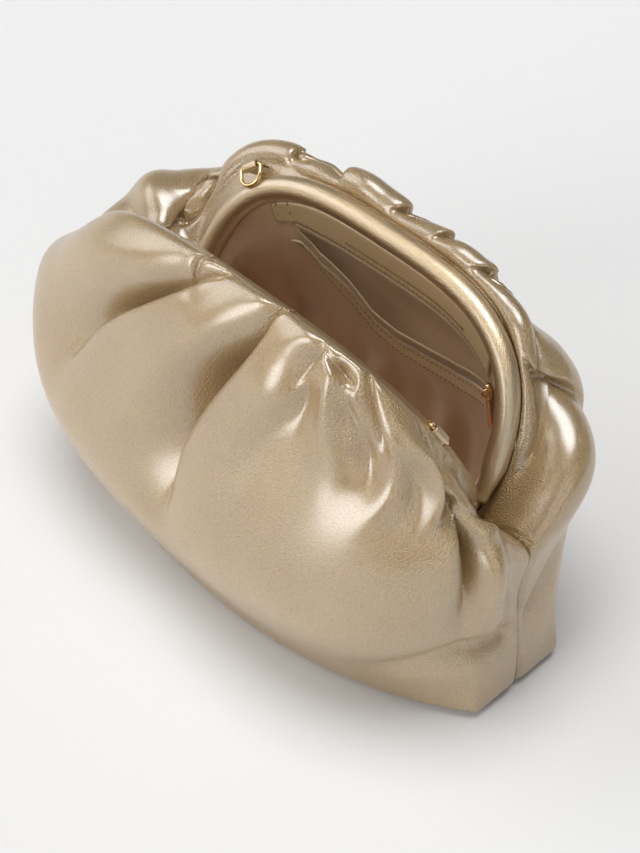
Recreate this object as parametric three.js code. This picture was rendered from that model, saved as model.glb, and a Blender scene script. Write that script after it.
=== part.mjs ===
// Clutch bag in soft metallic leather, gathered onto a hinged tube frame and standing open on its base.
// Millimetres, +Z up. The front faces -Y, the end with the visible hinge is +X, the floor is z = 0.
import * as THREE from 'three';

// Frame: two U-shaped tubes, each a half superellipse, hinged at both ends
const HALF_SPAN = 101.3;
const RISE = 93.1;
const ARCH_POWER = 3.57;
const HINGE_Z = 98.8;
const LEAN_BACK = 30.9;
const LEAN_FRONT = 22;
const BAR_R = 6.2;
const BAR_TIP_R = 3.4;
const BAR_START = 8.2;
const BAR_TAPER = 22;

// Walls and clearances
const GAP = 0.3;
const LEATHER = 1.6;
const SATIN = 0.8;
const SEAM_HALF = 0.15;
const RIM_OFFSET = 7.2;
const RIM_TURN = 60;
const LINING_OFFSET = 6.9;
const LINING_TURN = 30;
const FOLD_SCALE = 0.7;

// Strap fittings
const RING_HALF = 5.6;
const RING_SIDE = 4;
const RING_CORNER = 1.5;
const RING_WIRE = 0.95;
const TAB_WIDTH = 7.6;
const TAB_BORE = 1.25;
const TAB_OUTER = 2.6;

// Hinge
const PIN_R = 0.9;
const PIN_HEAD_R = 2;
const PIN_HALF = 1.75;
const PIN_HEAD = 0.75;
const LEAF_HALF = 2;
const LEAF_T = 1.3;

// Where the strap fittings sit: x on the tube, loop centre and tail end in its (outward, away) plane,
// direction in which the ring lies
const FITTINGS = {
  back: { x: -84, tab: [12.3, 0.4], tail: [9.4, 4.2], lie: [-0.777, -0.629] },
  front: { x: 93, tab: [8.8, -5], tail: [8, -1.6], lie: [-0.945, -0.327] },
};

// Rings of the leather body under the rim. Each ring goes from the right seam (xr, zr) over the front
// (yf, zf) or the back (yb, zb) to the left seam (xl, zl); n.. are the roundness of its four quarters,
// box turns the ring into a flat-ended base outline of half width yend.
const BODY_COLUMNS = ['name', 'xr', 'zr', 'xl', 'zl', 'yf', 'zf', 'yb', 'zb',
  'nfr', 'nfl', 'nbr', 'nbl', 'box', 'yend'];
const BODY = table(BODY_COLUMNS, [
  ['crest', 114, 107, -123.7, 115.6, -42, 200, 60, 187, 3.4, 3.4, 3.4, 3.9, 0, 20],
  ['shoulder', 126.6, 112, -135.7, 122.2, -54, 178.3, 69.8, 170.7, 3.2, 3.2, 3.2, 2.5, 0, 20],
  ['upper', 139, 100, -172.6, 112, -70, 127, 83, 141.6, 3, 3.2, 3.3, 2.6, 0, 24],
  ['belly', 134.4, 69, -177.5, 84, -88, 64, 83, 82.8, 2.7, 2.8, 2.7, 2.5, 0, 26],
  ['low', 137.3, 30, -157.6, 34.8, -73, 16.6, 76.8, 29.5, 2.6, 3, 2.5, 2.5, 0.35, 28],
  ['edge', 135, 0, -128, 0, -63.9, 0, 58, 0, 2.5, 2.5, 2.5, 2.5, 1, 28],
  ['mid', 118, 0, -116, 0, -32, 0, 30, 0, 2.3, 2.3, 2.3, 2.3, 1, 14],
  ['centre', 104, 0, -104, 0, -0.2, 0, 0.2, 0, 2, 2, 2, 2, 1, 0.1],
]);

// Rings of the hanging satin lining, same columns
const LINING = table(BODY_COLUMNS, [
  ['hang', 97, 84, -98, 86, -42, 150, 49.5, 140, 3.2, 3.2, 3.2, 3, 0, 20],
  ['belly', 112, 60, -128, 68, -62, 84, 54, 90, 2.9, 2.9, 2.9, 2.7, 0, 20],
  ['low', 121, 30, -134, 34, -58, 28, 55, 36, 2.7, 2.7, 2.7, 2.6, 0.3, 22],
  ['edge', 118, 4, -112, 4, -48, 4, 45, 4, 2.6, 2.6, 2.6, 2.6, 1, 22],
  ['centre', 95, 4, -92, 4, -0.01, 4, 0.01, 4, 2, 2, 2, 2, 1, 0.01],
]);

// Pleats and folds: a curve through three points of the panel (u runs right seam to left seam, v rim to
// base), depth at its start, at a third and at its end, width of the slow and of the steep flank at both
// ends, and which flank is the steep one (+1 the larger u).
const FOLD_COLUMNS = ['side', 'name', 'u0', 'v0', 'u1', 'v1', 'u2', 'v2', 'd0', 'dm', 'd1',
  'slow0', 'slow1', 'steep0', 'steep1', 'high'];
const FOLDS = table(FOLD_COLUMNS, [
  [-1, 'left_tuck', 0.622, -0.06, 0.655, 0.27, 0.76, 0.45, 4, 14, 4, 14, 36, 4, 13, -1],
  [-1, 'short_tuck', 0.556, -0.06, 0.572, 0.13, 0.59, 0.27, 3, 6, 2, 8, 16, 3, 7, -1],
  [-1, 'deep_tuck', 0.48, -0.06, 0.482, 0.27, 0.555, 0.52, 5, 17, 5, 14, 38, 4, 15, -1],
  [-1, 'ridge_left', 0.402, -0.06, 0.402, 0.2, 0.425, 0.34, 3, 9, 2, 11, 24, 4, 9, -1],
  [-1, 'ridge_right', 0.378, -0.06, 0.345, 0.24, 0.27, 0.44, 3, 11, 4, 12, 30, 4, 14, 1],
  [-1, 'middle_tuck', 0.32, -0.06, 0.288, 0.2, 0.2, 0.35, 4, 11, 3, 12, 28, 4, 10, -1],
  [-1, 'soft_valley', 0.265, 0.1, 0.206, 0.3, 0.155, 0.46, 1, 9, 2, 12, 22, 9, 16, 1],
  [-1, 'tab_tuck', 0.23, -0.06, 0.198, 0.2, 0.13, 0.38, 3, 10, 3, 10, 24, 4, 10, 1],
  [-1, 'end_tuck', 0.172, -0.04, 0.15, 0.23, 0.118, 0.34, 2, 5, 1, 6, 12, 3, 6, 1],
  [-1, 'corner_valley', 0.128, 0.2, 0.086, 0.43, 0.06, 0.62, 2, 13, 4, 13, 18, 9, 13, -1],
  [-1, 'base_slump', -0.03, 0.61, 0.12, 0.545, 0.36, 0.71, 9, 9, 1, 12, 12, 3, 4, 1],
  [1, 'back_tuck_1', 0.715, -0.06, 0.712, 0.18, 0.69, 0.42, 3, 7, 2, 12, 26, 3, 10, -1],
  [1, 'back_tuck_2', 0.622, -0.06, 0.628, 0.18, 0.63, 0.44, 3, 9, 2, 14, 28, 3, 10, -1],
  [1, 'back_tuck_3', 0.528, -0.06, 0.535, 0.18, 0.54, 0.42, 4, 9, 2, 14, 28, 3, 10, 1],
  [1, 'back_tuck_4', 0.458, -0.06, 0.455, 0.18, 0.45, 0.44, 4, 9, 2, 13, 28, 3, 10, 1],
  [1, 'back_tuck_5', 0.372, -0.06, 0.362, 0.18, 0.35, 0.42, 4, 10, 2, 14, 28, 3, 10, 1],
  [1, 'back_tuck_6', 0.3, -0.06, 0.29, 0.18, 0.275, 0.44, 3, 9, 2, 12, 26, 3, 10, 1],
  [1, 'back_tuck_7', 0.226, -0.06, 0.215, 0.2, 0.185, 0.44, 4, 11, 2, 13, 28, 4, 10, 1],
  [1, 'back_tuck_8', 0.15, -0.04, 0.14, 0.2, 0.105, 0.44, 2, 8, 2, 12, 26, 4, 10, 1],
  [1, 'left_channel', 1.02, 0.16, 0.91, 0.215, 0.77, 0.3, 6, 10, 2, 11, 16, 8, 12, -1],
  [1, 'base_slump_back', -0.03, 0.61, 0.1, 0.555, 0.3, 0.67, 9, 8, 1, 12, 12, 3, 4, -1],
]);

// Soft swellings and hollows of the panels: centre (u, v), reach (ru, rv), height
const PUFF_COLUMNS = ['side', 'u', 'v', 'ru', 'rv', 'height'];
const PUFFS = table(PUFF_COLUMNS, [
  [-1, 0.8, 0.26, 0.1, 0.1, 6],
  [-1, 0.275, 0.31, 0.03, 0.04, -4],
  [-1, 0.078, 0.39, 0.035, 0.09, 8],
  [-1, 0.4, 0.47, 0.16, 0.1, 4],
  [-1, 0.53, 0.3, 0.05, 0.12, 4],
  [1, 0.1, 0.33, 0.06, 0.08, 4],
  [1, 0.86, 0.31, 0.07, 0.05, 6],
  [1, 0.8, 0.13, 0.09, 0.06, 6],
  [1, 0.6, 0.12, 0.03, 0.06, 4],
]);

// Open zip of the wall pocket on the lining: lower rim of the facing and the sagging lower zip edge
const ZIP_COLUMNS = ['u', 'facing', 'sag'];
const ZIP = table(ZIP_COLUMNS, [
  [0.254, 0.15, 0.185],
  [0.33, 0.122, 0.225],
  [0.396, 0.114, 0.241],
  [0.47, 0.114, 0.25],
  [0.529, 0.116, 0.241],
  [0.588, 0.117, 0.2],
  [0.662, 0.106, 0.168],
  [0.708, 0.085, 0.116],
]);
const FACING_TOP = 0.035;
const FACING_LEFT = 0.748;
const TAPE_DROP = 0.032;
const BAND_DROP = 0.095;
const POCKET_GAPE = 6;

// Rows of the panel and lining grids, rim to base
const PANEL_ROWS = [0, 0.05, 0.1, 0.15, 0.21, 0.28, 0.36, 0.44, 0.52, 0.58, 0.64, 0.7, 0.75, 0.87, 1];
const PANEL_COLUMNS = 61;
const LINING_ROWS = [0, 0.08, 0.18, 0.29, 0.4, 0.5, 0.6, 0.7, 0.8, 0.9, 1];
const LINING_COLUMNS = 29;

function table(columns, rows) {
  return rows.map((row) => Object.fromEntries(columns.map((name, i) => [name, row[i]])));
}

const rad = (deg) => deg * Math.PI / 180;
const clamp = (x, lo, hi) => Math.min(hi, Math.max(lo, x));
const mix = (a, b, t) => a + (b - a) * t;
const ease = (x) => {
  const t = clamp(x, 0, 1);
  return t * t * (3 - 2 * t);
};
const add = (a, b, k = 1) => [a[0] + b[0] * k, a[1] + b[1] * k, a[2] + b[2] * k];
const sub = (a, b) => add(a, b, -1);
const dot = (a, b) => a[0] * b[0] + a[1] * b[1] + a[2] * b[2];
const cross = (a, b) => [
  a[1] * b[2] - a[2] * b[1],
  a[2] * b[0] - a[0] * b[2],
  a[0] * b[1] - a[1] * b[0],
];
const length = (a) => Math.hypot(a[0], a[1], a[2]);
const unit = (a) => a.map((x) => x / (length(a) || 1));
const range = (n) => Array.from({ length: n }, (_, i) => i);
const spaced = (n, lo = 0, hi = 1) => range(n).map((i) => mix(lo, hi, i / (n - 1)));

// Value of a table column at u, straight lines between rows
function lookup(rows, column, u) {
  const last = rows.length - 1;
  if (u <= rows[0].u) return rows[0][column];
  if (u >= rows[last].u) return rows[last][column];
  const i = rows.findIndex((row, k) => k < last && u <= rows[k + 1].u);
  const t = (u - rows[i].u) / (rows[i + 1].u - rows[i].u);
  return mix(rows[i][column], rows[i + 1][column], t);
}

// Points spread evenly by length along a polyline; extra arrays are carried along with the points
function resample(points, count, carried = points) {
  const walked = [0];
  for (let i = 1; i < points.length; i += 1) {
    walked.push(walked[i - 1] + length(sub(points[i], points[i - 1])));
  }
  const total = walked[walked.length - 1];
  let k = 0;
  return spaced(count, 0, total).map((at) => {
    while (k < points.length - 2 && walked[k + 1] < at) k += 1;
    const t = clamp((at - walked[k]) / (walked[k + 1] - walked[k] || 1), 0, 1);
    return carried[k].map((x, axis) => mix(x, carried[k + 1][axis], t));
  });
}

// One tube of the frame: centre line, outward direction in its plane, and the plane's outer normal
function barLine(side, count = 401) {
  const lean = rad(side > 0 ? LEAN_BACK : LEAN_FRONT);
  const up = [0, side * Math.sin(lean), Math.cos(lean)];
  const away = [0, side * Math.cos(lean), -Math.sin(lean)];
  const power = 2 / ARCH_POWER;
  const stations = spaced(count, 0, Math.PI).map((angle) => {
    const c = Math.cos(angle);
    const s = Math.max(0, Math.sin(angle));
    const x = HALF_SPAN * Math.sign(c) * Math.abs(c) ** power;
    const h = RISE * s ** power;
    const gx = Math.sign(c) * Math.abs(x / HALF_SPAN) ** (ARCH_POWER - 1) / HALF_SPAN;
    const gh = (h / RISE) ** (ARCH_POWER - 1) / RISE;
    const g = Math.hypot(gx, gh);
    return {
      h,
      centre: add([x, 0, HINGE_Z], up, h),
      out: add([gx / g, 0, 0], up, gh / g),
    };
  });
  return { up, away, stations };
}

// Ring that follows a frame tube at a fixed distance, turned from the outward direction by an angle
function barRing(side, count, offset, turn, sign) {
  const { away, stations } = barLine(side);
  const points = stations.map(({ h, centre, out }) => {
    const angle = rad(turn) * ease(h / 35);
    return add(add(centre, out, sign * offset * Math.cos(angle)), away, offset * Math.sin(angle));
  });
  return { points: resample(points, count), out: resample(points, count, stations.map((s) => s.out)) };
}

// Half ring of a section row from the right seam to the left seam, evenly spaced by length
function sectionRing(row, side, count) {
  const yMid = side > 0 ? row.yb : row.yf;
  const zMid = side > 0 ? row.zb : row.zf;
  const round = spaced(401, 0, Math.PI).map((angle) => {
    const c = Math.cos(angle);
    const right = side > 0 ? row.nbr : row.nfr;
    const left = side > 0 ? row.nbl : row.nfl;
    const power = 2 / (c >= 0 ? right : left);
    const w = Math.abs(Math.sin(angle)) ** power;
    const x = (c >= 0 ? row.xr : row.xl) * Math.abs(c) ** power;
    const zEnd = mix(row.zr, row.zl, (1 - c) / 2);
    return [x, w * yMid, mix(zEnd, zMid, w)];
  });
  const ring = resample(round, count);
  if (row.box <= 0) return ring;
  const yEnd = Math.sign(yMid) * Math.min(row.yend, Math.abs(yMid));
  const half = (row.xr - row.xl) / 2;
  const flat = [
    ...spaced(31).map((t) => [row.xr, t * yEnd]),
    ...spaced(121, row.xr, row.xl).slice(1).map((x) => {
      const t = (x - (row.xr + row.xl) / 2) / half;
      return [x, mix(yEnd, yMid, 1 - t * t)];
    }),
    ...spaced(31).slice(1).map((t) => [row.xl, (1 - t) * yEnd]),
  ].map(([x, y]) => {
    const zEnd = mix(row.zr, row.zl, (row.xr - x) / (row.xr - row.xl));
    return [x, y, mix(zEnd, zMid, clamp(Math.abs(y / yMid), 0, 1))];
  });
  const boxed = resample(flat, count);
  return ring.map((p, i) => p.map((x, axis) => mix(x, boxed[i][axis], row.box)));
}

// Smooth curve through the rings (uniform Catmull-Rom), evaluated at v in 0..1
function acrossRings(rings, v) {
  const at = v * (rings.length - 1);
  const i = clamp(Math.floor(at), 0, rings.length - 2);
  const f = at - i;
  const b = rings[i];
  const c = rings[i + 1];
  return b.map((_, k) => [0, 1, 2].map((axis) => {
    const p1 = b[k][axis];
    const p2 = c[k][axis];
    const p0 = i > 0 ? rings[i - 1][k][axis] : 2 * p1 - p2;
    const p3 = i < rings.length - 2 ? rings[i + 2][k][axis] : 2 * p2 - p1;
    return 0.5 * (2 * p1 + (p2 - p0) * f + (2 * p0 - 5 * p1 + 4 * p2 - p3) * f * f
      + (3 * p1 - p0 - 3 * p2 + p3) * f * f * f);
  }));
}

// Unit normals of a grid of points, pointing away from the middle of the bag
function gridNormals(grid, side) {
  const rows = grid.length;
  const columns = grid[0].length;
  const normals = grid.map((line, j) => line.map((_, i) => {
    const du = sub(line[Math.min(columns - 1, i + 1)], line[Math.max(0, i - 1)]);
    const dv = sub(grid[Math.min(rows - 1, j + 1)][i], grid[Math.max(0, j - 1)][i]);
    return unit(cross(du, dv));
  }));
  const middle = normals[Math.floor(rows / 2)][Math.floor(columns / 2)];
  const flip = middle[1] * side < 0 ? -1 : 1;
  return normals.map((line) => line.map((n) => n.map((x) => x * flip)));
}

// Point of a grid at (u, v)
function gridPoint(grid, rows, u, v) {
  const x = clamp(u, 0, 1) * (grid[0].length - 1);
  const i = Math.min(grid[0].length - 2, Math.floor(x));
  let j = 0;
  while (j < rows.length - 2 && rows[j + 1] < v) j += 1;
  const fy = clamp((v - rows[j]) / (rows[j + 1] - rows[j]), 0, 1);
  return [0, 1, 2].map((axis) => mix(
    mix(grid[j][i][axis], grid[j][i + 1][axis], x - i),
    mix(grid[j + 1][i][axis], grid[j + 1][i + 1][axis], x - i),
    fy,
  ));
}

// Depth of the folds at every point of a panel grid
function foldDepths(grid, rows, side) {
  const columns = grid[0].length;
  const depth = grid.map((line) => line.map(() => 0));
  FOLDS.filter((fold) => fold.side === side).forEach((fold) => {
    const path = spaced(61).map((t) => {
      const a = (1 - t) * (1 - 2 * t);
      const b = 4 * t * (1 - t);
      const c = t * (2 * t - 1);
      const u = fold.u0 * a + fold.u1 * b + fold.u2 * c;
      const v = fold.v0 * a + fold.v1 * b + fold.v2 * c;
      return { t, u, v, at: gridPoint(grid, rows, u, v) };
    });
    grid.forEach((line, j) => line.forEach((p, i) => {
      const far = path.map((q) => length(sub(p, q.at)));
      const near = far.indexOf(Math.min(...far));
      const { t, u, v } = path[near];
      const before = path[Math.max(0, near - 1)];
      const after = path[Math.min(path.length - 1, near + 1)];
      const turn = (after.v - before.v) * (i / (columns - 1) - u) - (after.u - before.u) * (rows[j] - v);
      const steep = Math.sign(turn) * fold.high > 0;
      const reach = steep
        ? Math.max(8, mix(fold.steep0, fold.steep1, t))
        : Math.max(10, mix(fold.slow0, fold.slow1, t));
      const rise = t < 0.35 ? mix(fold.d0, fold.dm, ease(t / 0.35))
        : mix(fold.dm, fold.d1, ease((t - 0.35) / 0.65));
      const fade = rise * (1 - t ** 6) * Math.exp(-((far[near] / reach) ** (steep ? 1.8 : 1.4)));
      depth[j][i] += fade ** 3;
    }));
  });
  return depth.map((line) => line.map((d) => Math.cbrt(d)));
}

// A point pushed out to the wall's clearance if it lies too near the frame tube
function clearOfBar(p, bar) {
  const near = bar.stations.reduce((a, b) => (
    length(sub(a.centre, p)) < length(sub(b.centre, p)) ? a : b));
  const from = sub(p, near.centre);
  const across = add(near.out.map((x) => x * dot(from, near.out)), bar.away, dot(from, bar.away));
  const short = BAR_R + 2 * LEATHER + GAP - length(across);
  return short > 0 ? add(p, unit(across), short) : p;
}

// Outer skin of one leather panel: rings, then folds and swellings along the local outward direction
function panelSkin(side) {
  const rim = barRing(side, PANEL_COLUMNS, RIM_OFFSET, RIM_TURN, 1);
  const rings = [rim.points, ...BODY.map((row) => sectionRing(row, side, PANEL_COLUMNS))];
  const flat = PANEL_ROWS.map((v) => acrossRings(rings, v).map(([x, y, z]) => [x, y, Math.max(0, z)]));
  const normals = gridNormals(flat, side);
  const depth = foldDepths(flat, PANEL_ROWS, side);
  const bar = barLine(side, 161);
  const { away } = bar;
  return flat.map((line, j) => line.map((p, i) => {
    const u = i / (PANEL_COLUMNS - 1);
    const v = PANEL_ROWS[j];
    const free = ease(v / 0.22) * ease(Math.min(u, 1 - u) / 0.025) * ease((0.75 - v) / 0.05);
    const lower = ease((v - 0.1) / 0.16);
    const inward = unit(add(rim.out[i].map((x) => x * (1 - lower)), normals[j][i], lower));
    const outward = unit(add(inward, away, 0.5 * (1 - lower)));
    const swell = PUFFS.filter((puff) => puff.side === side).reduce((sum, puff) => sum + puff.height
      * Math.exp(-(((u - puff.u) / puff.ru) ** 2) - (((v - puff.v) / puff.rv) ** 2)), 0);
    const bent = add(add(p, inward, -depth[j][i] * FOLD_SCALE * free), outward, swell * free);
    const moved = v < 0.08 || v > 0.3 ? bent : clearOfBar(bent, bar);
    return [moved[0], side * Math.max(SEAM_HALF, side * moved[1]), Math.max(0, moved[2])];
  }));
}

// Closed body from two grids of points that face each other, with walls along the four borders
function slab(front, back) {
  const rows = front.length;
  const columns = front[0].length;
  const points = [...front.flat(), ...back.flat()];
  const faces = [];
  const at = (layer, j, i) => layer * rows * columns + j * columns + i;
  const quad = (a, b, c, d) => faces.push([a, b, c], [a, c, d]);
  for (let j = 0; j < rows - 1; j += 1) {
    for (let i = 0; i < columns - 1; i += 1) {
      quad(at(0, j, i), at(0, j + 1, i), at(0, j + 1, i + 1), at(0, j, i + 1));
      quad(at(1, j, i), at(1, j, i + 1), at(1, j + 1, i + 1), at(1, j + 1, i));
    }
  }
  for (let i = 0; i < columns - 1; i += 1) {
    quad(at(0, 0, i), at(0, 0, i + 1), at(1, 0, i + 1), at(1, 0, i));
    quad(at(0, rows - 1, i), at(1, rows - 1, i), at(1, rows - 1, i + 1), at(0, rows - 1, i + 1));
  }
  for (let j = 0; j < rows - 1; j += 1) {
    quad(at(0, j, 0), at(1, j, 0), at(1, j + 1, 0), at(0, j + 1, 0));
    quad(at(0, j, columns - 1), at(0, j + 1, columns - 1), at(1, j + 1, columns - 1), at(1, j, columns - 1));
  }
  return solid(points, faces);
}

// Closed body swept through a list of equal polygons, with flat caps
function sweep(rings) {
  const sides = rings[0].length;
  const points = rings.flat();
  const faces = [];
  for (let k = 0; k < rings.length - 1; k += 1) {
    for (let i = 0; i < sides; i += 1) {
      const a = k * sides + i;
      const b = k * sides + (i + 1) % sides;
      faces.push([a, b, b + sides], [a, b + sides, a + sides]);
    }
  }
  const last = (rings.length - 1) * sides;
  for (let i = 1; i < sides - 1; i += 1) {
    faces.push([0, i + 1, i], [last, last + i, last + i + 1]);
  }
  return solid(points, faces);
}

// Geometry with its faces turned outward
function solid(points, faces) {
  const volume = faces.reduce((sum, [a, b, c]) => sum + dot(points[a], cross(points[b], points[c])), 0);
  const turned = volume < 0 ? faces.map(([a, b, c]) => [a, c, b]) : faces;
  const geometry = new THREE.BufferGeometry();
  geometry.setAttribute('position', new THREE.Float32BufferAttribute(points.flat(), 3));
  geometry.setIndex(turned.flat());
  geometry.computeVertexNormals();
  return geometry;
}

// Leather panel: outer skin and an inner skin one wall thickness inside it
function leatherPanel(side) {
  const outer = panelSkin(side);
  const normals = gridNormals(outer, side);
  const inner = outer.map((line, j) => line.map((p, i) => {
    const floor = PANEL_ROWS[j] >= 0.75;
    const q = floor ? add(p, [0, 0, 1], LEATHER) : add(p, normals[j][i], -LEATHER);
    return [q[0], side * Math.max(SEAM_HALF, side * q[1]), Math.max(LEATHER, q[2])];
  }));
  return slab(outer, inner);
}

// Half of the lining's outer skin
function liningSkin(side, columns, rows) {
  const top = barRing(side, columns, LINING_OFFSET, LINING_TURN, -1).points;
  const rings = [top, ...LINING.map((row) => sectionRing(row, side, columns))];
  return rows.map((v) => acrossRings(rings, v).map(([x, y, z]) => [x, y, Math.max(4, z)]));
}

// Satin lining: one open bag, both halves joined at the end seams and along the floor
function lining() {
  const halves = [1, -1].map((side) => liningSkin(side, LINING_COLUMNS, LINING_ROWS));
  const around = 2 * (LINING_COLUMNS - 1);
  const outer = LINING_ROWS.map((_, j) => [
    ...halves[0][j].slice(0, -1),
    ...halves[1][j].slice(1).reverse(),
  ].map(([x, y, z], i) => [x, i % (LINING_COLUMNS - 1) === 0 || LINING_ROWS[j] === 1 ? 0 : y, z]));
  const inner = outer.map((line, j) => line.map((p, i) => {
    if (LINING_ROWS[j] >= 0.8) return add(p, [0, 0, 1], SATIN);
    const du = sub(line[(i + 1) % around], line[(i + around - 1) % around]);
    const below = outer[Math.min(LINING_ROWS.length - 1, j + 1)][i];
    const dv = sub(below, outer[Math.max(0, j - 1)][i]);
    const n = unit(cross(du, dv));
    const outward = dot(n, sub(p, [p[0] * 0.6, 0, 90])) < 0 ? -1 : 1;
    return add(p, n, -outward * SATIN);
  }));
  const points = [...outer.flat(), ...inner.flat()];
  const rows = LINING_ROWS.length;
  const at = (layer, j, i) => {
    const k = (i + around) % around;
    const folded = j === rows - 1 && k > LINING_COLUMNS - 1 ? around - k : k;
    return layer * rows * around + j * around + folded;
  };
  const faces = [];
  const quad = (a, b, c, d) => faces.push([a, b, c], [a, c, d]);
  for (let j = 0; j < rows - 1; j += 1) {
    for (let i = 0; i < around; i += 1) {
      quad(at(0, j, i), at(0, j + 1, i), at(0, j + 1, i + 1), at(0, j, i + 1));
      quad(at(1, j, i), at(1, j, i + 1), at(1, j + 1, i + 1), at(1, j + 1, i));
    }
  }
  for (let i = 0; i < around; i += 1) {
    quad(at(0, 0, i), at(0, 0, i + 1), at(1, 0, i + 1), at(1, 0, i));
  }
  return solid(points, faces);
}

// Leather-wrapped tube of the frame, slimmer towards its hinge ends
function frameBar(side) {
  const { away, stations } = barLine(side, 1601);
  const kept = stations.filter((s) => s.h >= BAR_START);
  const centres = resample(kept.map((s) => s.centre), 49);
  const outs = resample(kept.map((s) => s.centre), 49, kept.map((s) => s.out));
  const rings = centres.map((centre, k) => {
    const out = unit(outs[k]);
    const h = length(sub([0, centre[1], centre[2]], [0, 0, HINGE_Z]));
    const r = mix(BAR_TIP_R, BAR_R, ease((h - BAR_START) / BAR_TAPER));
    return spaced(11, 0, 2 * Math.PI).slice(0, 10).map((angle) => (
      add(add(centre, out, r * Math.cos(angle)), away, r * Math.sin(angle))));
  });
  return sweep(rings);
}

// Frame directions at the place of a tube where x has a given value
function barPlace(side, x) {
  const { away, stations } = barLine(side, 2401);
  const upper = stations.filter((s) => s.h > 0.5 * RISE);
  const best = upper.reduce((a, b) => (Math.abs(a.centre[0] - x) < Math.abs(b.centre[0] - x) ? a : b));
  const out = unit(best.out);
  return { centre: best.centre, out, away, along: unit(cross(out, away)) };
}

// Geometry laid from local axes (along the tube, outward, away) into the bag
function placed(geometry, place) {
  const matrix = new THREE.Matrix4().makeBasis(
    new THREE.Vector3(...place.along),
    new THREE.Vector3(...place.out),
    new THREE.Vector3(...place.away),
  );
  matrix.setPosition(...place.centre);
  geometry.applyMatrix4(matrix);
  return geometry;
}

// D-shaped wire ring hanging from the tab, its lie given in the (outward, away) plane of the tube
function strapRing(place, tab, lie) {
  const corner = (end) => spaced(6, 0, Math.PI / 2).map((angle) => [
    end * (RING_HALF - RING_CORNER + RING_CORNER * Math.sin(angle)),
    RING_CORNER - RING_CORNER * Math.cos(angle),
  ]);
  const bow = spaced(15, 0, Math.PI).map((angle) => [
    RING_HALF * Math.cos(angle),
    RING_SIDE + RING_HALF * Math.sin(angle),
  ]);
  const line = [...corner(1), ...bow, ...corner(-1).reverse()];
  const count = line.length;
  const points = line.flatMap(([x, y], k) => {
    const [ax, ay] = line[(k + count - 1) % count];
    const [bx, by] = line[(k + 1) % count];
    const size = Math.hypot(bx - ax, by - ay);
    const side = [(by - ay) / size, -(bx - ax) / size];
    return spaced(9, 0, 2 * Math.PI).slice(0, 8).map((angle) => {
      const wide = RING_WIRE * Math.cos(angle);
      const deep = RING_WIRE * Math.sin(angle);
      const down = y + side[1] * wide;
      return [
        x + side[0] * wide,
        tab[0] + lie[0] * down - lie[1] * deep,
        tab[1] + lie[1] * down + lie[0] * deep,
      ];
    });
  });
  const faces = range(count).flatMap((k) => range(8).flatMap((i) => {
    const next = (k + 1) % count;
    const a = k * 8 + i;
    const b = k * 8 + (i + 1) % 8;
    const c = next * 8 + (i + 1) % 8;
    return [[a, b, c], [a, c, next * 8 + i]];
  }));
  return placed(solid(points, faces), place);
}

// Leather loop round the ring's wire with a short tail, drawn in the (outward, away) plane
function strapTab(place, tab, tail) {
  const along = new THREE.Vector2(tail[0] - tab[0], tail[1] - tab[1]);
  const reach = along.length();
  const angle = along.angle();
  const shape = new THREE.Shape();
  const open = 0.9;
  const half = TAB_OUTER * Math.sin(open);
  shape.absarc(0, 0, TAB_OUTER, open, 2 * Math.PI - open, false);
  shape.lineTo(reach, -half * 0.55);
  shape.lineTo(reach, half * 0.55);
  shape.closePath();
  const bore = new THREE.Path();
  bore.absarc(0, 0, TAB_BORE, 0, 2 * Math.PI, true);
  shape.holes.push(bore);
  const geometry = new THREE.ExtrudeGeometry(shape, { depth: TAB_WIDTH, bevelEnabled: false, curveSegments: 10 });
  geometry.rotateZ(angle);
  geometry.translate(0, 0, -TAB_WIDTH / 2);
  geometry.applyMatrix4(new THREE.Matrix4().makeBasis(
    new THREE.Vector3(0, 1, 0),
    new THREE.Vector3(0, 0, 1),
    new THREE.Vector3(1, 0, 0),
  ));
  geometry.translate(0, tab[0], tab[1]);
  return placed(geometry, place);
}

// Point on the inner face of the lining's back wall, a distance inside it
const WALL = liningSkin(1, LINING_COLUMNS, LINING_ROWS);
const WALL_NORMALS = gridNormals(WALL, 1);
function wallPoint(u, v, inside) {
  const normal = unit(gridPoint(WALL_NORMALS, LINING_ROWS, u, v));
  return add(gridPoint(WALL, LINING_ROWS, u, v), normal, -(SATIN + inside));
}

// How far the sagging pocket edge stands off the wall at u
const gape = (u) => POCKET_GAPE * Math.sin(Math.PI * clamp((u - 0.254) / 0.454, 0, 1));

// Strip on the back wall between two v curves, with a stand-off that may change over it
function wallStrip(u0, u1, vTop, vBottom, thick, inside, columns = 25, rows = 4) {
  const grid = (extra) => spaced(rows).map((t) => spaced(columns, u0, u1).map((u) => (
    wallPoint(u, mix(vTop(u), vBottom(u), t), inside(u, t) + extra))));
  return slab(grid(thick), grid(0));
}

// Thin cord on the back wall along a v curve
function wallCord(u0, u1, vAt, radius, inside) {
  const line = spaced(33, u0, u1).map((u) => wallPoint(u, vAt(u), inside(u)));
  const rings = line.map((p, k) => {
    const along = unit(sub(line[Math.min(32, k + 1)], line[Math.max(0, k - 1)]));
    const side = unit(cross(along, [0, 1, 0]));
    const deep = cross(side, along);
    return spaced(9, 0, 2 * Math.PI).slice(0, 8).map((angle) => (
      add(add(p, side, radius * Math.cos(angle)), deep, radius * Math.sin(angle))));
  });
  return sweep(rings);
}

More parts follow.
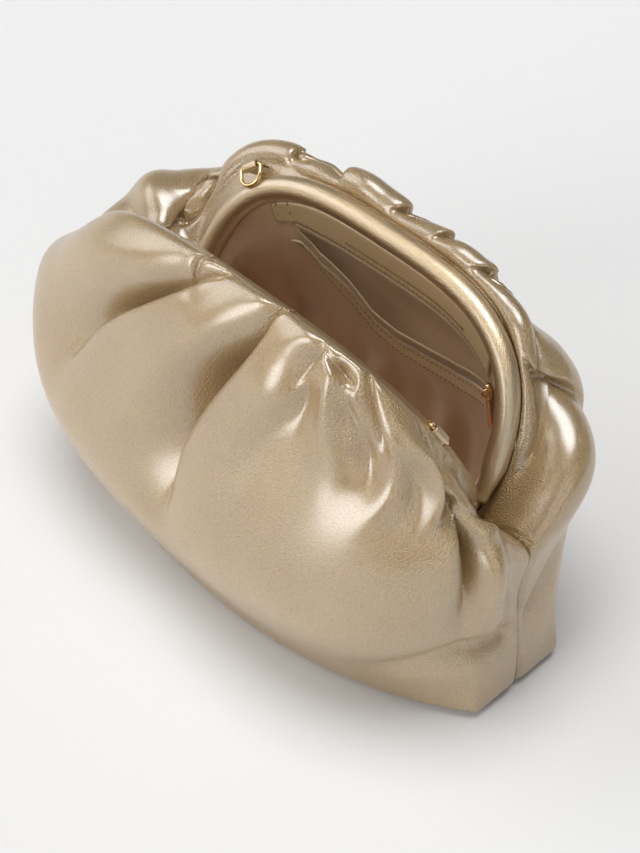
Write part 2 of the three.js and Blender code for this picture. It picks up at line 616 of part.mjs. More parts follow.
// Hinge leaf: flat bar from the pin up to the tube's end
function hingeLeaf(side, end) {
  const shape = new THREE.Shape();
  const top = BAR_START - GAP;
  shape.absarc(0, 0, LEAF_HALF, Math.PI, 2 * Math.PI, false);
  shape.lineTo(LEAF_HALF, top);
  shape.lineTo(-LEAF_HALF, top);
  shape.closePath();
  const bore = new THREE.Path();
  bore.absarc(0, 0, PIN_R + GAP, 0, 2 * Math.PI, true);
  shape.holes.push(bore);
  const geometry = new THREE.ExtrudeGeometry(shape, { depth: LEAF_T, bevelEnabled: false, curveSegments: 10 });
  const { up, away } = barLine(side, 3);
  const across = away.map((x) => x * side);
  geometry.applyMatrix4(new THREE.Matrix4().makeBasis(
    new THREE.Vector3(...across),
    new THREE.Vector3(...up),
    new THREE.Vector3(...cross(across, up)),
  ));
  geometry.computeBoundingBox();
  const start = side > 0 ? -SEAM_HALF - LEAF_T : SEAM_HALF;
  geometry.translate(end * HALF_SPAN + start - geometry.boundingBox.min.x, 0, HINGE_Z);
  return geometry;
}

// Hinge rivet with a head at both ends
function hingePin(end) {
  const profile = [
    [0, -PIN_HALF - PIN_HEAD],
    [PIN_HEAD_R, -PIN_HALF - PIN_HEAD],
    [PIN_HEAD_R, -PIN_HALF],
    [PIN_R, -PIN_HALF],
    [PIN_R, PIN_HALF],
    [PIN_HEAD_R, PIN_HALF],
    [PIN_HEAD_R, PIN_HALF + PIN_HEAD],
    [0, PIN_HALF + PIN_HEAD],
  ].map(([r, y]) => new THREE.Vector2(r, y));
  const geometry = new THREE.LatheGeometry(profile, 20);
  geometry.rotateZ(Math.PI / 2);
  geometry.translate(end * HALF_SPAN, 0, HINGE_Z);
  return geometry;
}

const FINISH = {
  leather: { color: '#c1aa86', roughness: 0.42, metalness: 0.75 },
  satin: { color: '#b59a7f', roughness: 0.55, metalness: 0 },
  gold: { color: '#d9b67c', roughness: 0.22, metalness: 1 },
  tape: { color: '#ab9474', roughness: 0.8, metalness: 0 },
  coil: { color: '#c4ab86', roughness: 0.5, metalness: 0 },
};

const bag = new THREE.Group();
bag.name = 'clutch_bag';
function piece(name, geometry, finish) {
  const mesh = new THREE.Mesh(geometry, new THREE.MeshStandardMaterial(FINISH[finish]));
  mesh.name = name;
  bag.add(mesh);
}

// Leather body and frame
piece('front_panel', leatherPanel(-1), 'leather');
piece('back_panel', leatherPanel(1), 'leather');
piece('frame_bar_front', frameBar(-1), 'leather');
piece('frame_bar_back', frameBar(1), 'leather');

// Hinges at both ends of the frame
[['right', 1], ['left', -1]].forEach(([name, end]) => {
  piece(`hinge_${name}_leaf_front`, hingeLeaf(-1, end), 'gold');
  piece(`hinge_${name}_leaf_back`, hingeLeaf(1, end), 'gold');
  piece(`hinge_${name}_pin`, hingePin(end), 'gold');
});

// Strap tabs and rings
[['back', 1], ['front', -1]].forEach(([name, side]) => {
  const { x, tab, tail, lie } = FITTINGS[name];
  const place = barPlace(side, x);
  piece(`strap_tab_${name}`, strapTab(place, tab, tail), 'leather');
  piece(`strap_ring_${name}`, strapRing(place, tab, lie), 'gold');
});

// Lining and the zip pocket on its back wall
const ZIP_RIGHT = ZIP[0].u;
const ZIP_LEFT = ZIP[ZIP.length - 1].u;
const facing = (u) => lookup(ZIP, 'facing', u);
const sag = (u) => lookup(ZIP, 'sag', u);
piece('lining', lining(), 'satin');
piece('pocket_facing', wallStrip(ZIP_RIGHT, FACING_LEFT, () => FACING_TOP, facing, 1.2, () => 0.5), 'leather');
piece('zip_coil_upper', wallCord(ZIP_RIGHT, ZIP_LEFT, (u) => facing(u) + 0.009, 0.9, () => 1.4), 'coil');
piece('zip_coil_lower', wallCord(ZIP_RIGHT, ZIP_LEFT, sag, 0.9, (u) => 1.6 + gape(u)), 'coil');
piece('zip_tape', wallStrip(ZIP_RIGHT, ZIP_LEFT, (u) => sag(u) + 0.009, (u) => sag(u) + TAPE_DROP, 0.8,
  (u, t) => 0.9 + gape(u) * (1 - 0.3 * t)), 'tape');
piece('pocket_band', wallStrip(ZIP_RIGHT, ZIP_LEFT + 0.02, (u) => sag(u) + TAPE_DROP + 0.003,
  (u) => sag(u) + BAND_DROP, 1.4, (u, t) => 0.6 + gape(u) * 0.7 * (1 - t)), 'leather');
piece('zip_slider', wallStrip(0.2345, 0.2525, () => 0.162, () => 0.205, 2.6, () => 0.5, 3, 3), 'gold');
piece('zip_puller', wallStrip(0.2365, 0.2505, () => 0.2072, () => 0.322, 1.4, () => 1.2, 3, 5), 'gold');

// Middle of the footprint at the origin, floor at z = 0
const box = new THREE.Box3().setFromObject(bag);
bag.children.forEach((mesh) => {
  mesh.geometry.translate(-(box.min.x + box.max.x) / 2, -(box.min.y + box.max.y) / 2, -box.min.z);
});

export default bag;
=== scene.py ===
# %% [markdown]
# # A gathered clutch bag
# The bag is a soft leather pouch, pleated onto two hinged tubes and standing open on its base.
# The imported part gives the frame: every piece below is made in the same millimetres as the part
# and laid over the node that it stands for.

# %% Load the part
import math
import bpy
import numpy as np
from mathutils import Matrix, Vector


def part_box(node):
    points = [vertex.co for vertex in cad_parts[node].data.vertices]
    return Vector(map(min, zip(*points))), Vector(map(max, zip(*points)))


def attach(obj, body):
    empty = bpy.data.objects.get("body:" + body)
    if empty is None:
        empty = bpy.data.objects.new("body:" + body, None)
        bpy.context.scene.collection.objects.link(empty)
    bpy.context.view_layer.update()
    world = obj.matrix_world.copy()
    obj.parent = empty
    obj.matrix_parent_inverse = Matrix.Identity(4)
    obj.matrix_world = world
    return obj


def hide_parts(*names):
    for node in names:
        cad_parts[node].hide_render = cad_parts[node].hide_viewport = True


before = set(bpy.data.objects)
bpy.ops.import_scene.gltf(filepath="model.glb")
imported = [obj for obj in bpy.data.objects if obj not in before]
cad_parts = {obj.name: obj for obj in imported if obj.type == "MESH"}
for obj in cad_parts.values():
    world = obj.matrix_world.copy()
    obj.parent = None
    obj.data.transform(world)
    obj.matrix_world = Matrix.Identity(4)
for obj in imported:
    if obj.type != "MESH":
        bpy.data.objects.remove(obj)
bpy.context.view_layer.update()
HINGE_X, HINGE_Z = 101.3, 98.8
pin_low, pin_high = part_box("hinge_right_pin")
SHIFT = (np.array(pin_low) + np.array(pin_high)) * 500 - np.array([HINGE_X, 0, HINGE_Z])

# %% [markdown]
# ## Small tools
# Each piece is a grid of points: rows by columns, worked out by a formula. One function turns such a
# grid into a mesh, as an open sheet, a closed tube or a ring. A wall gets its thickness from a
# Solidify modifier, so the formula only has to give one skin.

# %% Numbers along a line
def ease(x):
    """Smooth step: 3x^2 - 2x^3 between 0 and 1."""
    x = np.clip(x, 0, 1)
    return x * x * (3 - 2 * x)


def unit(a):
    """Each vector over its own length."""
    return a / np.maximum(np.linalg.norm(a, axis=-1, keepdims=True), 1e-9)


def along_length(points, count, carried=None):
    """Points spread evenly by length along a polyline; carried arrays go along with them."""
    carried = points if carried is None else carried
    step = np.linalg.norm(np.diff(points, axis=0), axis=1)
    walked = np.concatenate([[0], np.cumsum(step)])
    wanted = np.linspace(0, walked[-1], count)
    return np.stack([np.interp(wanted, walked, carried[:, k]) for k in range(3)], -1)


# %% From a grid to a mesh
def index_quads(index):
    """Quads between neighbouring rows and columns of a grid of point numbers."""
    return np.stack([index[:-1, :-1], index[1:, :-1], index[1:, 1:], index[:-1, 1:]], -1).reshape(-1, 4)


def grid_faces(rows, columns, around=False, ring=False):
    """Quads of a grid; around joins the last column to the first, ring the last row to the first."""
    index = np.arange(rows * columns).reshape(rows, columns)
    if around:
        index = np.concatenate([index, index[:, :1]], 1)
    if ring:
        index = np.concatenate([index, index[:1]], 0)
    return index_quads(index)


def mesh_object(name, points, faces, material):
    """One object at the origin from points in the part's millimetres."""
    mesh = bpy.data.meshes.new(name)
    mesh.from_pydata(((points.reshape(-1, 3) + SHIFT) / 1000).tolist(), [], faces)
    mesh.polygons.foreach_set("use_smooth", np.ones(len(mesh.polygons), bool))
    mesh.materials.append(material)
    piece = bpy.data.objects.new(name, mesh)
    bpy.context.scene.collection.objects.link(piece)
    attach(piece, "root")
    return piece


def face_out(piece):
    """Turns the faces of a closed mesh outwards by the sign of its volume."""
    mesh = piece.data
    mesh.calc_loop_triangles()
    spots = np.zeros(len(mesh.vertices) * 3)
    mesh.vertices.foreach_get("co", spots)
    corners = np.zeros(len(mesh.loop_triangles) * 3, int)
    mesh.loop_triangles.foreach_get("vertices", corners)
    a, b, c = spots.reshape(-1, 3)[corners.reshape(-1, 3)].transpose(1, 0, 2)
    if (np.cross(a - spots[:3], b - spots[:3]) * (c - spots[:3])).sum() < 0:
        mesh.flip_normals()
    return piece


def tube(name, rings, material, ring=False):
    """A closed body through a stack of equal polygons, capped at both ends unless it is a ring."""
    rows, columns = rings.shape[:2]
    faces = grid_faces(rows, columns, around=True, ring=ring).tolist()
    if not ring:
        faces += [list(range(columns)), list(range((rows - 1) * columns, rows * columns))[::-1]]
    return face_out(mesh_object(name, rings, faces, material))


def wall(piece, thickness):
    """Gives a skin its thickness on the inner side, in millimetres."""
    solid = piece.modifiers.new("wall", "SOLIDIFY")
    solid.thickness = thickness / 1000
    solid.offset = -1
    return piece


def rounded(across, thick, count, power):
    """Superellipse outline of a strip: |x/a|^n + |y/b|^n = 1."""
    angle = np.linspace(0, 2 * np.pi, count, endpoint=False)
    c, s = np.cos(angle), np.sin(angle)
    turn = lambda w: np.sign(w) * np.abs(w) ** (2 / power)
    return np.stack([across / 2 * turn(c), thick / 2 * turn(s)], -1)


# %% [markdown]
# ## Finishes
# The leather is a soft nappa with a champagne gold coat: a golden metal foil pressed onto a fine
# pebble grain and sealed with a clear film. It mirrors the room in a blurred way, and the film adds a
# paler shine over it. The lining is a satin, the fittings are gold-plated, and the zip is nylon on
# woven tape. Each finish is a small node tree on Object coordinates, with scales worked out from
# millimetres. A pattern that is finer than a pixel on the real bag is drawn coarser, so that it shows.

# %% Node helper and colours
def linear(code):
    """sRGB hex to linear RGBA: the standard curve, channel by channel."""
    c = np.array([int(code[i:i + 2], 16) for i in (1, 3, 5)]) / 255
    return (*np.where(c <= 0.04045, c / 12.92, ((c + 0.055) / 1.055) ** 2.4), 1.0)


def add(tree, kind, inputs=None, **settings):
    """Adds one node with its settings; an input is a value or another node's output."""
    made = tree.nodes.new(kind)
    for key, value in settings.items():
        setattr(made, key, value)
    for key, value in (inputs or {}).items():
        if isinstance(value, bpy.types.NodeSocket):
            tree.links.new(value, made.inputs[key])
        else:
            made.inputs[key].default_value = value
    return made


def finish(name):
    """An empty material with its surface shader and its object coordinates."""
    material = bpy.data.materials.new(name)
    material.use_nodes = True
    tree = material.node_tree
    return material, tree, tree.nodes["Principled BSDF"], add(tree, "ShaderNodeTexCoord").outputs["Object"]


def per_mm(size):
    """Texture scale whose features are about this many millimetres wide."""
    return 1000 / size


# %% Metallic nappa leather
FILM_IOR, FILM_SMOOTHER = 2.3, 0.1
CRINKLE_MM, COAT_MM = 0.4, 60
GRAIN_HEIGHT, COAT_DRIFT = 0.0007, 0.04
SPECK_DEEP, SPECK_PALE = -.5, .6


def metallic_nappa(name, pale, deep, grain_mm, grain_depth, rough, metal=0.92):
    """Metal under a clear film: Voronoi pebbles, high and painted pale at their centres, with painted shade
    in their hollows; noise for the gloss.
    """
    material, tree, shader, place = finish(name)
    cells = add(tree, "ShaderNodeTexVoronoi", {"Vector": place, "Scale": per_mm(grain_mm)}, feature="F1")
    crinkle = add(tree, "ShaderNodeTexNoise", {"Vector": place, "Scale": per_mm(CRINKLE_MM), "Detail": 1.0})
    coat = add(tree, "ShaderNodeTexNoise", {"Vector": place, "Scale": per_mm(COAT_MM), "Detail": 2.0})
    from_centre, drift = cells.outputs["Distance"], coat.outputs["Fac"]
    # Painted shade: the colour darkens towards each pebble's hollow, mixed with the slow noise's random tone.
    tone_and_pebble_shade = add(tree, "ShaderNodeMath", {0: drift, 1: from_centre}, operation="SUBTRACT")
    share = add(tree, "ShaderNodeMapRange",
                {"Value": tone_and_pebble_shade.outputs[0], "From Min": SPECK_DEEP, "From Max": SPECK_PALE})
    tone = add(tree, "ShaderNodeMix", {"Factor": share.outputs[0], "A": linear(deep), "B": linear(pale)},
               data_type="RGBA")
    hollow = add(tree, "ShaderNodeMath", {0: from_centre, 1: crinkle.outputs["Fac"]}, operation="ADD")
    bump = add(tree, "ShaderNodeBump",
               {"Height": hollow.outputs[0], "Strength": grain_depth, "Distance": GRAIN_HEIGHT}, invert=True)
    gloss = add(tree, "ShaderNodeMapRange",
                {"Value": drift, "To Min": rough - COAT_DRIFT, "To Max": rough + COAT_DRIFT})
    tree.links.new(tone.outputs["Result"], shader.inputs["Base Color"])
    tree.links.new(gloss.outputs[0], shader.inputs["Roughness"])
    tree.links.new(bump.outputs[0], shader.inputs["Normal"])
    shader.inputs["Metallic"].default_value = metal
    shader.inputs["Coat Weight"].default_value = 1.0
    shader.inputs["Coat IOR"].default_value = FILM_IOR
    shader.inputs["Coat Roughness"].default_value = rough - FILM_SMOOTHER
    return material


# The body's grain is open and dull enough to blur the room; on the tubes the leather is pulled smooth.
# Pebbles are really about 0.5 mm wide and are drawn at 0.8 to 1 mm.
# All three leathers darken their pebbles' hollows in the colour, as painted shade of the grain.
LEATHER = metallic_nappa("champagne_nappa_metallic_coat", "#c5a97b", "#a88a5b", 1.0, 0.9, 0.40)
BAR_LEATHER = metallic_nappa("champagne_nappa_stretched_smooth", "#cbb38a", "#c2a981", 0.8, 0.35, 0.38)


# %% Cloth and plating
THREADS_PER_UNIT = 6.28  # light and dark bands that a wave texture draws in one unit
SHADE_MM, THREAD_HEIGHT = 45, 0.0002
MARKS_MM, MARKS_DRIFT = 1.5, 0.05


def woven(name, pale, deep, thread_mm, rough, sheen, depth):
    """Cloth: two crossed wave patterns give the warp and weft, slow noise the shade."""
    material, tree, shader, place = finish(name)
    threads = {"Vector": place, "Scale": per_mm(thread_mm) / THREADS_PER_UNIT}
    warp = add(tree, "ShaderNodeTexWave", threads, bands_direction="X").outputs["Fac"]
    weft = add(tree, "ShaderNodeTexWave", threads, bands_direction="Z").outputs["Fac"]
    cross = add(tree, "ShaderNodeMath", {0: warp, 1: weft}, operation="MULTIPLY")
    shade = add(tree, "ShaderNodeTexNoise", {"Vector": place, "Scale": per_mm(SHADE_MM), "Detail": 2.0})
    tone = add(tree, "ShaderNodeMix", {"Factor": shade.outputs["Fac"], "A": linear(deep), "B": linear(pale)},
               data_type="RGBA")
    bump = add(tree, "ShaderNodeBump",
               {"Height": cross.outputs[0], "Strength": depth, "Distance": THREAD_HEIGHT})
    tree.links.new(tone.outputs["Result"], shader.inputs["Base Color"])
    tree.links.new(bump.outputs[0], shader.inputs["Normal"])
    shader.inputs["Roughness"].default_value = rough
    shader.inputs["Sheen Weight"].default_value = sheen
    return material


def plated(name, colour, rough):
    """Gold plating: a clean metal with faint polishing marks in its gloss."""
    material, tree, shader, place = finish(name)
    marks = add(tree, "ShaderNodeTexNoise", {"Vector": place, "Scale": per_mm(MARKS_MM), "Detail": 3.0})
    gloss = add(tree, "ShaderNodeMapRange",
                {"Value": marks.outputs["Fac"], "To Min": rough - MARKS_DRIFT, "To Max": rough + MARKS_DRIFT})
    tree.links.new(gloss.outputs[0], shader.inputs["Roughness"])
    shader.inputs["Base Color"].default_value = linear(colour)
    shader.inputs["Metallic"].default_value = 1.0
    return material


# %% Pocket trim, satin, zip, thread and plating
# The trim has less metal in its coat, so it stays pale in the shade of the mouth. Satin is smooth with
# a soft sheen, tape is dull, nylon is a little glossy. Satin and sewing threads are really about 0.1 mm
# wide; they are drawn at 0.4 to 0.5 mm.
TRIM_LEATHER = metallic_nappa("champagne_nappa_pocket_trim", "#e0c998", "#d0b686", 0.6, 0.3, 0.5, 0.25)
SATIN = woven("beige_satin_lining", "#d9b996", "#c29f7c", 0.5, 0.34, 0.3, 0.15)
TAPE = woven("beige_woven_zip_tape", "#b8a082", "#a98f70", 0.9, 0.8, 0.2, 0.6)
THREAD = woven("gold_beige_sewing_thread", "#a98f68", "#8d7450", 0.4, 0.6, 0.2, 0.5)
COIL = woven("beige_nylon_zip_coil", "#cdb592", "#bba27e", 0.7, 0.4, 0.0, 0.2)
EDGE = woven("brown_edge_paint", "#8a6136", "#75512c", 0.8, 0.5, 0.0, 0.2)
GOLD = plated("pale_gold_plating", "#e6c48f", 0.2)
ROSE_GOLD = plated("rose_gold_plating", "#d9a982", 0.25)
print("finishes", [m.name for m in bpy.data.materials])

# %% [markdown]
# ## Where the frame tubes run
# Two tubes, each a half superellipse in its own leaning plane, share a hinge at both ends. The
# leather hangs from them, so their centre lines come first.

# %% Frame tubes
FRONT, BACK = -1, 1
RISE, ARCH_RIGHT, ARCH_LEFT = 93.1, 3.05, 3.57
LEAN = {BACK: 30.9, FRONT: 22.0}
BAR_R, BAR_TIP_R, BAR_START, BAR_TAPER = 6.2, 3.4, 8.2, 22
FINE, COARSE = 2401, 301  # points along a centre line, where it is cut up and where it is only measured to
BAR_RINGS, BAR_SIDES = 181, 28


def bar_line(side, count=601):
    """Centre line |x/a|^n + |h/b|^n = 1 from right hinge to left, its outward and away directions, and h."""
    angle = np.linspace(0, np.pi, count)
    c, s = np.cos(angle), np.maximum(0, np.sin(angle))
    power = np.where(c >= 0, ARCH_RIGHT, ARCH_LEFT)
    x = HINGE_X * np.sign(c) * np.abs(c) ** (2 / power)
    h = RISE * s ** (2 / power)
    gx = np.sign(c) * np.abs(x / HINGE_X) ** (power - 1) / HINGE_X
    gh = (h / RISE) ** (power - 1) / RISE
    lean = math.radians(LEAN[side])
    up = np.array([0, side * math.sin(lean), math.cos(lean)])
    away = np.array([0, side * math.cos(lean), -math.sin(lean)])
    centre = np.stack([x, 0 * x, 0 * x + HINGE_Z], -1) + h[:, None] * up
    out = unit(np.stack([gx, 0 * gx, 0 * gx], -1) + gh[:, None] * up)
    return centre, out, away, h


def bar_radius(h):
    """Radius of a wrapped tube at a height over the hinge: slim at the tip, full after the taper."""
    return BAR_TIP_R + (BAR_R - BAR_TIP_R) * ease((h - BAR_START) / BAR_TAPER)


TURN_RISE = 35
SLACK_FROM, SLACK_RISE, SLACK_WAY = 4, 38, np.array([.45, 0, 1])


def bar_ring(side, count, offset, turn, sign=1, slack=0):
    """Line beside a tube at an offset, turned from its outward direction; slack lets its right end hang."""
    centre, out, away, h = bar_line(side)
    angle = (math.radians(turn) * ease(h / TURN_RISE))[:, None]
    offset = offset + (bar_radius(h) - BAR_R)[:, None] * (slack > 0)
    line = centre + sign * offset * np.cos(angle) * out + offset * np.sin(angle) * away
    loose = np.where(centre[:, 0] > 0, 1 - ease((h - SLACK_FROM) / SLACK_RISE), 0)
    line = line - slack * loose[:, None] * SLACK_WAY
    return along_length(line, count), unit(along_length(line, count, out)), along_length(line, count, centre)


def bar_piece(name, side, node):
    """Leather-wrapped tube: a circle carried along the centre line, slimmer near the hinges."""
    centre, out, away, h = bar_line(side, FINE)
    keep = h >= BAR_START
    spine = along_length(centre[keep], BAR_RINGS)
    outs = unit(along_length(centre[keep], BAR_RINGS, out[keep]))
    height = np.hypot(spine[:, 1], spine[:, 2] - HINGE_Z)
    radius = bar_radius(height)
    angle = np.linspace(0, 2 * np.pi, BAR_SIDES, endpoint=False)
    rings = spine[:, None] + radius[:, None, None] * (
        np.cos(angle)[None, :, None] * outs[:, None] + np.sin(angle)[None, :, None] * away)
    piece = tube(name, rings, BAR_LEATHER)
    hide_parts(node)


bar_piece("bar_front_wrapped", FRONT, "frame_bar_front")
bar_piece("bar_back_wrapped", BACK, "frame_bar_back")
print("tubes", round(2 * HINGE_X), "mm between hinges,", 2 * BAR_R, "mm thick")

# %% [markdown]
# ## The leather body
# A pouch has no flat side to start from, so it is lofted: eight rings under the rim, each made of
# superellipse quarters, and a smooth spline across them. The rim ring follows the tube itself. The
# same table of rings gives the front and the back panel.

# %% Rings of the body
# Each row: right and left end (x, z), middle of the front and of the back (y, z), the powers of the four
# quarters, the share of the boxed base and how far its square ends reach along y
BODY_COLUMNS = "xr zr xl zl yf zf yb zb nfr nfl nbr nbl box yend".split()
BODY = [dict(zip(BODY_COLUMNS, row)) for row in [
    (108, 93, -123.7, 115.6, -42, 200, 60, 187, 3.4, 3.4, 3.4, 3.9, 0, 20),
    (126.6, 105, -135.7, 122.2, -54, 178.3, 69.8, 170.7, 3.2, 3.2, 3.2, 2.5, 0, 20),
    (139, 100, -172.6, 112, -70, 127, 83, 141.6, 3, 3.2, 3.3, 2.6, 0, 24),
    (134.4, 69, -177.5, 84, -88, 64, 83, 82.8, 2.7, 2.8, 2.7, 2.5, 0, 26),
    (137.3, 30, -157.6, 34.8, -73, 16.6, 76.8, 29.5, 2.6, 3, 2.5, 2.5, 0.35, 28),
    (135, 0, -128, 0, -63.9, 0, 58, 0, 2.5, 2.5, 2.5, 2.5, 1, 28),
    (118, 0, -116, 0, -32, 0, 30, 0, 2.3, 2.3, 2.3, 2.3, 1, 14),
    (104, 0, -104, 0, 0, 0, 0, 0, 2, 2, 2, 2, 1, 0.1),
]]
ARC_POINTS, END_POINTS, LONG_POINTS = 401, 31, 121
print("body", len(BODY), "rings, from", BODY[0]["zf"], "mm down to the base")


# %% From rings to a surface
def section_ring(row, side, count):
    """Half ring from the right seam to the left: superellipse quarters, blended with a boxed base."""
    y_mid, z_mid = (row["yb"], row["zb"]) if side > 0 else (row["yf"], row["zf"])
    angle = np.linspace(0, np.pi, ARC_POINTS)
    c, s = np.cos(angle), np.sin(angle)
    right, left = (row["nbr"], row["nbl"]) if side > 0 else (row["nfr"], row["nfl"])
    power = 2 / np.where(c >= 0, right, left)
    w = np.abs(s) ** power
    x = np.where(c >= 0, row["xr"], row["xl"]) * np.abs(c) ** power
    z_end = row["zr"] + (row["zl"] - row["zr"]) * (1 - c) / 2
    ring = along_length(np.stack([x, w * y_mid, z_end + (z_mid - z_end) * w], -1), count)
    if row["box"] <= 0:
        return ring
    y_end = np.sign(y_mid) * min(row["yend"], abs(y_mid))
    t, xs = np.linspace(0, 1, END_POINTS), np.linspace(row["xr"], row["xl"], LONG_POINTS)
    bow = 1 - ((xs - (row["xr"] + row["xl"]) / 2) / ((row["xr"] - row["xl"]) / 2)) ** 2
    flat = np.concatenate([
        np.stack([np.full(END_POINTS, row["xr"]), t * y_end], -1),
        np.stack([xs, y_end + (y_mid - y_end) * bow], -1)[1:],
        np.stack([np.full(END_POINTS, row["xl"]), (1 - t) * y_end], -1)[1:]])
    z_end = row["zr"] + (row["zl"] - row["zr"]) * (row["xr"] - flat[:, 0]) / (row["xr"] - row["xl"])
    share = np.clip(np.abs(flat[:, 1] / y_mid), 0, 1) if y_mid else 0 * z_end
    boxed = along_length(np.column_stack([flat, z_end + (z_mid - z_end) * share]), count)
    return ring * (1 - row["box"]) + boxed * row["box"]


def across_rings(rings, v):
    """Uniform Catmull-Rom spline across a stack of rings at parameters v from 0 to 1."""
    at = np.asarray(v) * (len(rings) - 1)
    i = np.clip(np.floor(at).astype(int), 0, len(rings) - 2)
    f = (at - i)[:, None, None]
    ends = np.concatenate([2 * rings[:1] - rings[1:2], rings, 2 * rings[-1:] - rings[-2:-1]])
    a, b, c, d = ends[i], ends[i + 1], ends[i + 2], ends[i + 3]
    square, cube = 2 * a - 5 * b + 4 * c - d, 3 * b - a - 3 * c + d
    return 0.5 * (2 * b + (c - a) * f + square * f ** 2 + cube * f ** 3)


def grid_normals(grid, side):
    """Unit normals of a grid from the cross product of its two slopes, facing out of the bag."""
    n = unit(np.cross(np.gradient(grid, axis=1), np.gradient(grid, axis=0)))
    return n if n[n.shape[0] // 2, n.shape[1] // 2, 1] * side > 0 else -n


def grid_point(grid, rows, u, v):
    """Bilinear point of a grid at (u, v), u evenly spaced in 0..1 and v at the given rows."""
    x = np.clip(u, 0, 1) * (grid.shape[1] - 1)
    y = np.interp(v, rows, np.arange(len(rows)))
    i = np.clip(x.astype(int), 0, grid.shape[1] - 2)
    j = np.clip(y.astype(int), 0, grid.shape[0] - 2)
    fx, fy = (x - i)[..., None], (y - j)[..., None]
    return (grid[j, i] * (1 - fx) + grid[j, i + 1] * fx) * (1 - fy) \
        + (grid[j + 1, i] * (1 - fx) + grid[j + 1, i + 1] * fx) * fy


# %% [markdown]
# ## Pleats, folds and swellings
# Where the leather is gathered onto the tube it makes pleats: one lobe rolls over and the next one
# slides under it. Each pleat is a curve on the panel with a depth, a slow flank, a steep flank and
# an overhang, which moves the steep lobe over the groove. A flank is a power of (1 - q), where q goes
# from 0 in the groove to 1 at the flank's end, so the groove is sharp and the lobes between are round,
# as in real gathers. Towards its lower end a pleat goes over into a soft valley, (1 - q^2)^2. Simulation
# would also make gathers, but not these ones, so they are listed in a short table.

# %% Table of folds
# Each row: three points (u, v) of the curve, depth at its start, peak and end in millimetres, where the
# peak is, widths of both flanks at start and end, which hand is steep, and the overhang's share
FOLD_COLUMNS = "side name u0 v0 u1 v1 u2 v2 d0 dm d1 peak slow0 slow1 steep0 steep1 high over".split()
FOLDS = [dict(zip(FOLD_COLUMNS, row)) for row in [
    (FRONT, "left_tuck", .561, .145, .677, .323, .790, .480, 7, 27, 4, .42, 11, 56, 5, 28, -1, .60),
    (FRONT, "left_lip", .601, .083, .609, .190, .600, .245, 4, 8, 3, .50, 8, 12, 4, 6, 1, .60),
    (FRONT, "deep_tuck", .461, .091, .4905, .345, .530, .530, 8, 32, 4, .42, 8, 54, 5, 30, -1, .65),
    (FRONT, "pinch_left", .389, .145, .399, .220, .412, .285, 3, 9, .5, .40, 9, 26, 6, 18, -1, .45),
    (FRONT, "pinch_right", .383, .145, .353, .181, .322, .170, 3, 9, 2, .45, 8, 12, 5, 9, 1, .45),
    (FRONT, "hollow", .323, .225, .279, .293, .222, .350, 1, 13, 1, .50, 12, 34, 12, 30, 1, .0),
    (FRONT, "middle_tuck", .329, .090, .280, .235, .227, .300, 4, 14, 2, .45, 8, 30, 6, 22, -1, .40),
    (FRONT, "soft_valley", .245, .225, .206, .303, .160, .42, 1, 12, 1, .45, 14, 30, 14, 30, 1, .0),
    (FRONT, "tab_tuck", .253, .090, .173, .252, .133, .345, 4, 22, 6, .55, 8, 32, 5, 30, 1, .50),
    (FRONT, "left_of_ridge", .389, .213, .381, .272, .364, .334, 1, 6, 1, .45, 9, 20, 9, 20, 1, .0),
    (FRONT, "right_of_ridge", .347, .209, .314, .256, .272, .306, 1, 7, 1, .45, 9, 20, 9, 20, 1, .0),
    (FRONT, "end_curl", .182, .10, .172, .18, .160, .25, 3, 6, 1, .40, 6, 10, 4, 8, 1, .50),
    (FRONT, "corner_valley", .134, .270, .106, .390, .056, .492, 7, 24, 5, .40, 22, 36, 11, 20, 1, .35),
    (FRONT, "end_shelf", .105, .258, .055, .268, -.01, .272, 5, 9, 6, .40, 12, 12, 6, 7, 1, .45),
    (FRONT, "base_slump", -.03, .60, .11, .535, .30, .625, 9, 12, 1, .40, 20, 24, 6, 8, 1, .75),
    (BACK, "back_tuck_1", .722, -.05, .712, .18, .672, .56, 2, 9, 2, .50, 20, 44, 4, 20, 1, .50),
    (BACK, "back_tuck_2", .642, -.05, .636, .18, .628, .60, 3, 11, 2, .50, 20, 44, 4, 20, -1, .55),
    (BACK, "back_tuck_3", .560, -.05, .528, .18, .535, .55, 4, 12, 2, .50, 22, 44, 4, 20, 1, .60),
    (BACK, "back_tuck_4", .484, -.05, .452, .18, .440, .62, 4, 12, 2, .50, 20, 44, 4, 20, 1, .60),
    (BACK, "back_tuck_5", .408, -.05, .374, .18, .338, .57, 4, 12, 2, .50, 24, 44, 4, 20, 1, .60),
    (BACK, "back_tuck_6", .270, -.05, .232, .20, .165, .55, 4, 13, 2, .50, 22, 40, 4, 20, 1, .60),
    (BACK, "ear_channel", .935, .17, .890, .24, .85, .37, 4, 13, 4, .45, 16, 26, 11, 18, 1, .2),
    (BACK, "base_slump_back", -.03, .61, .035, .515, .10, .43, 9, 9, 1, .40, 20, 20, 6, 8, 1, .60),
]]

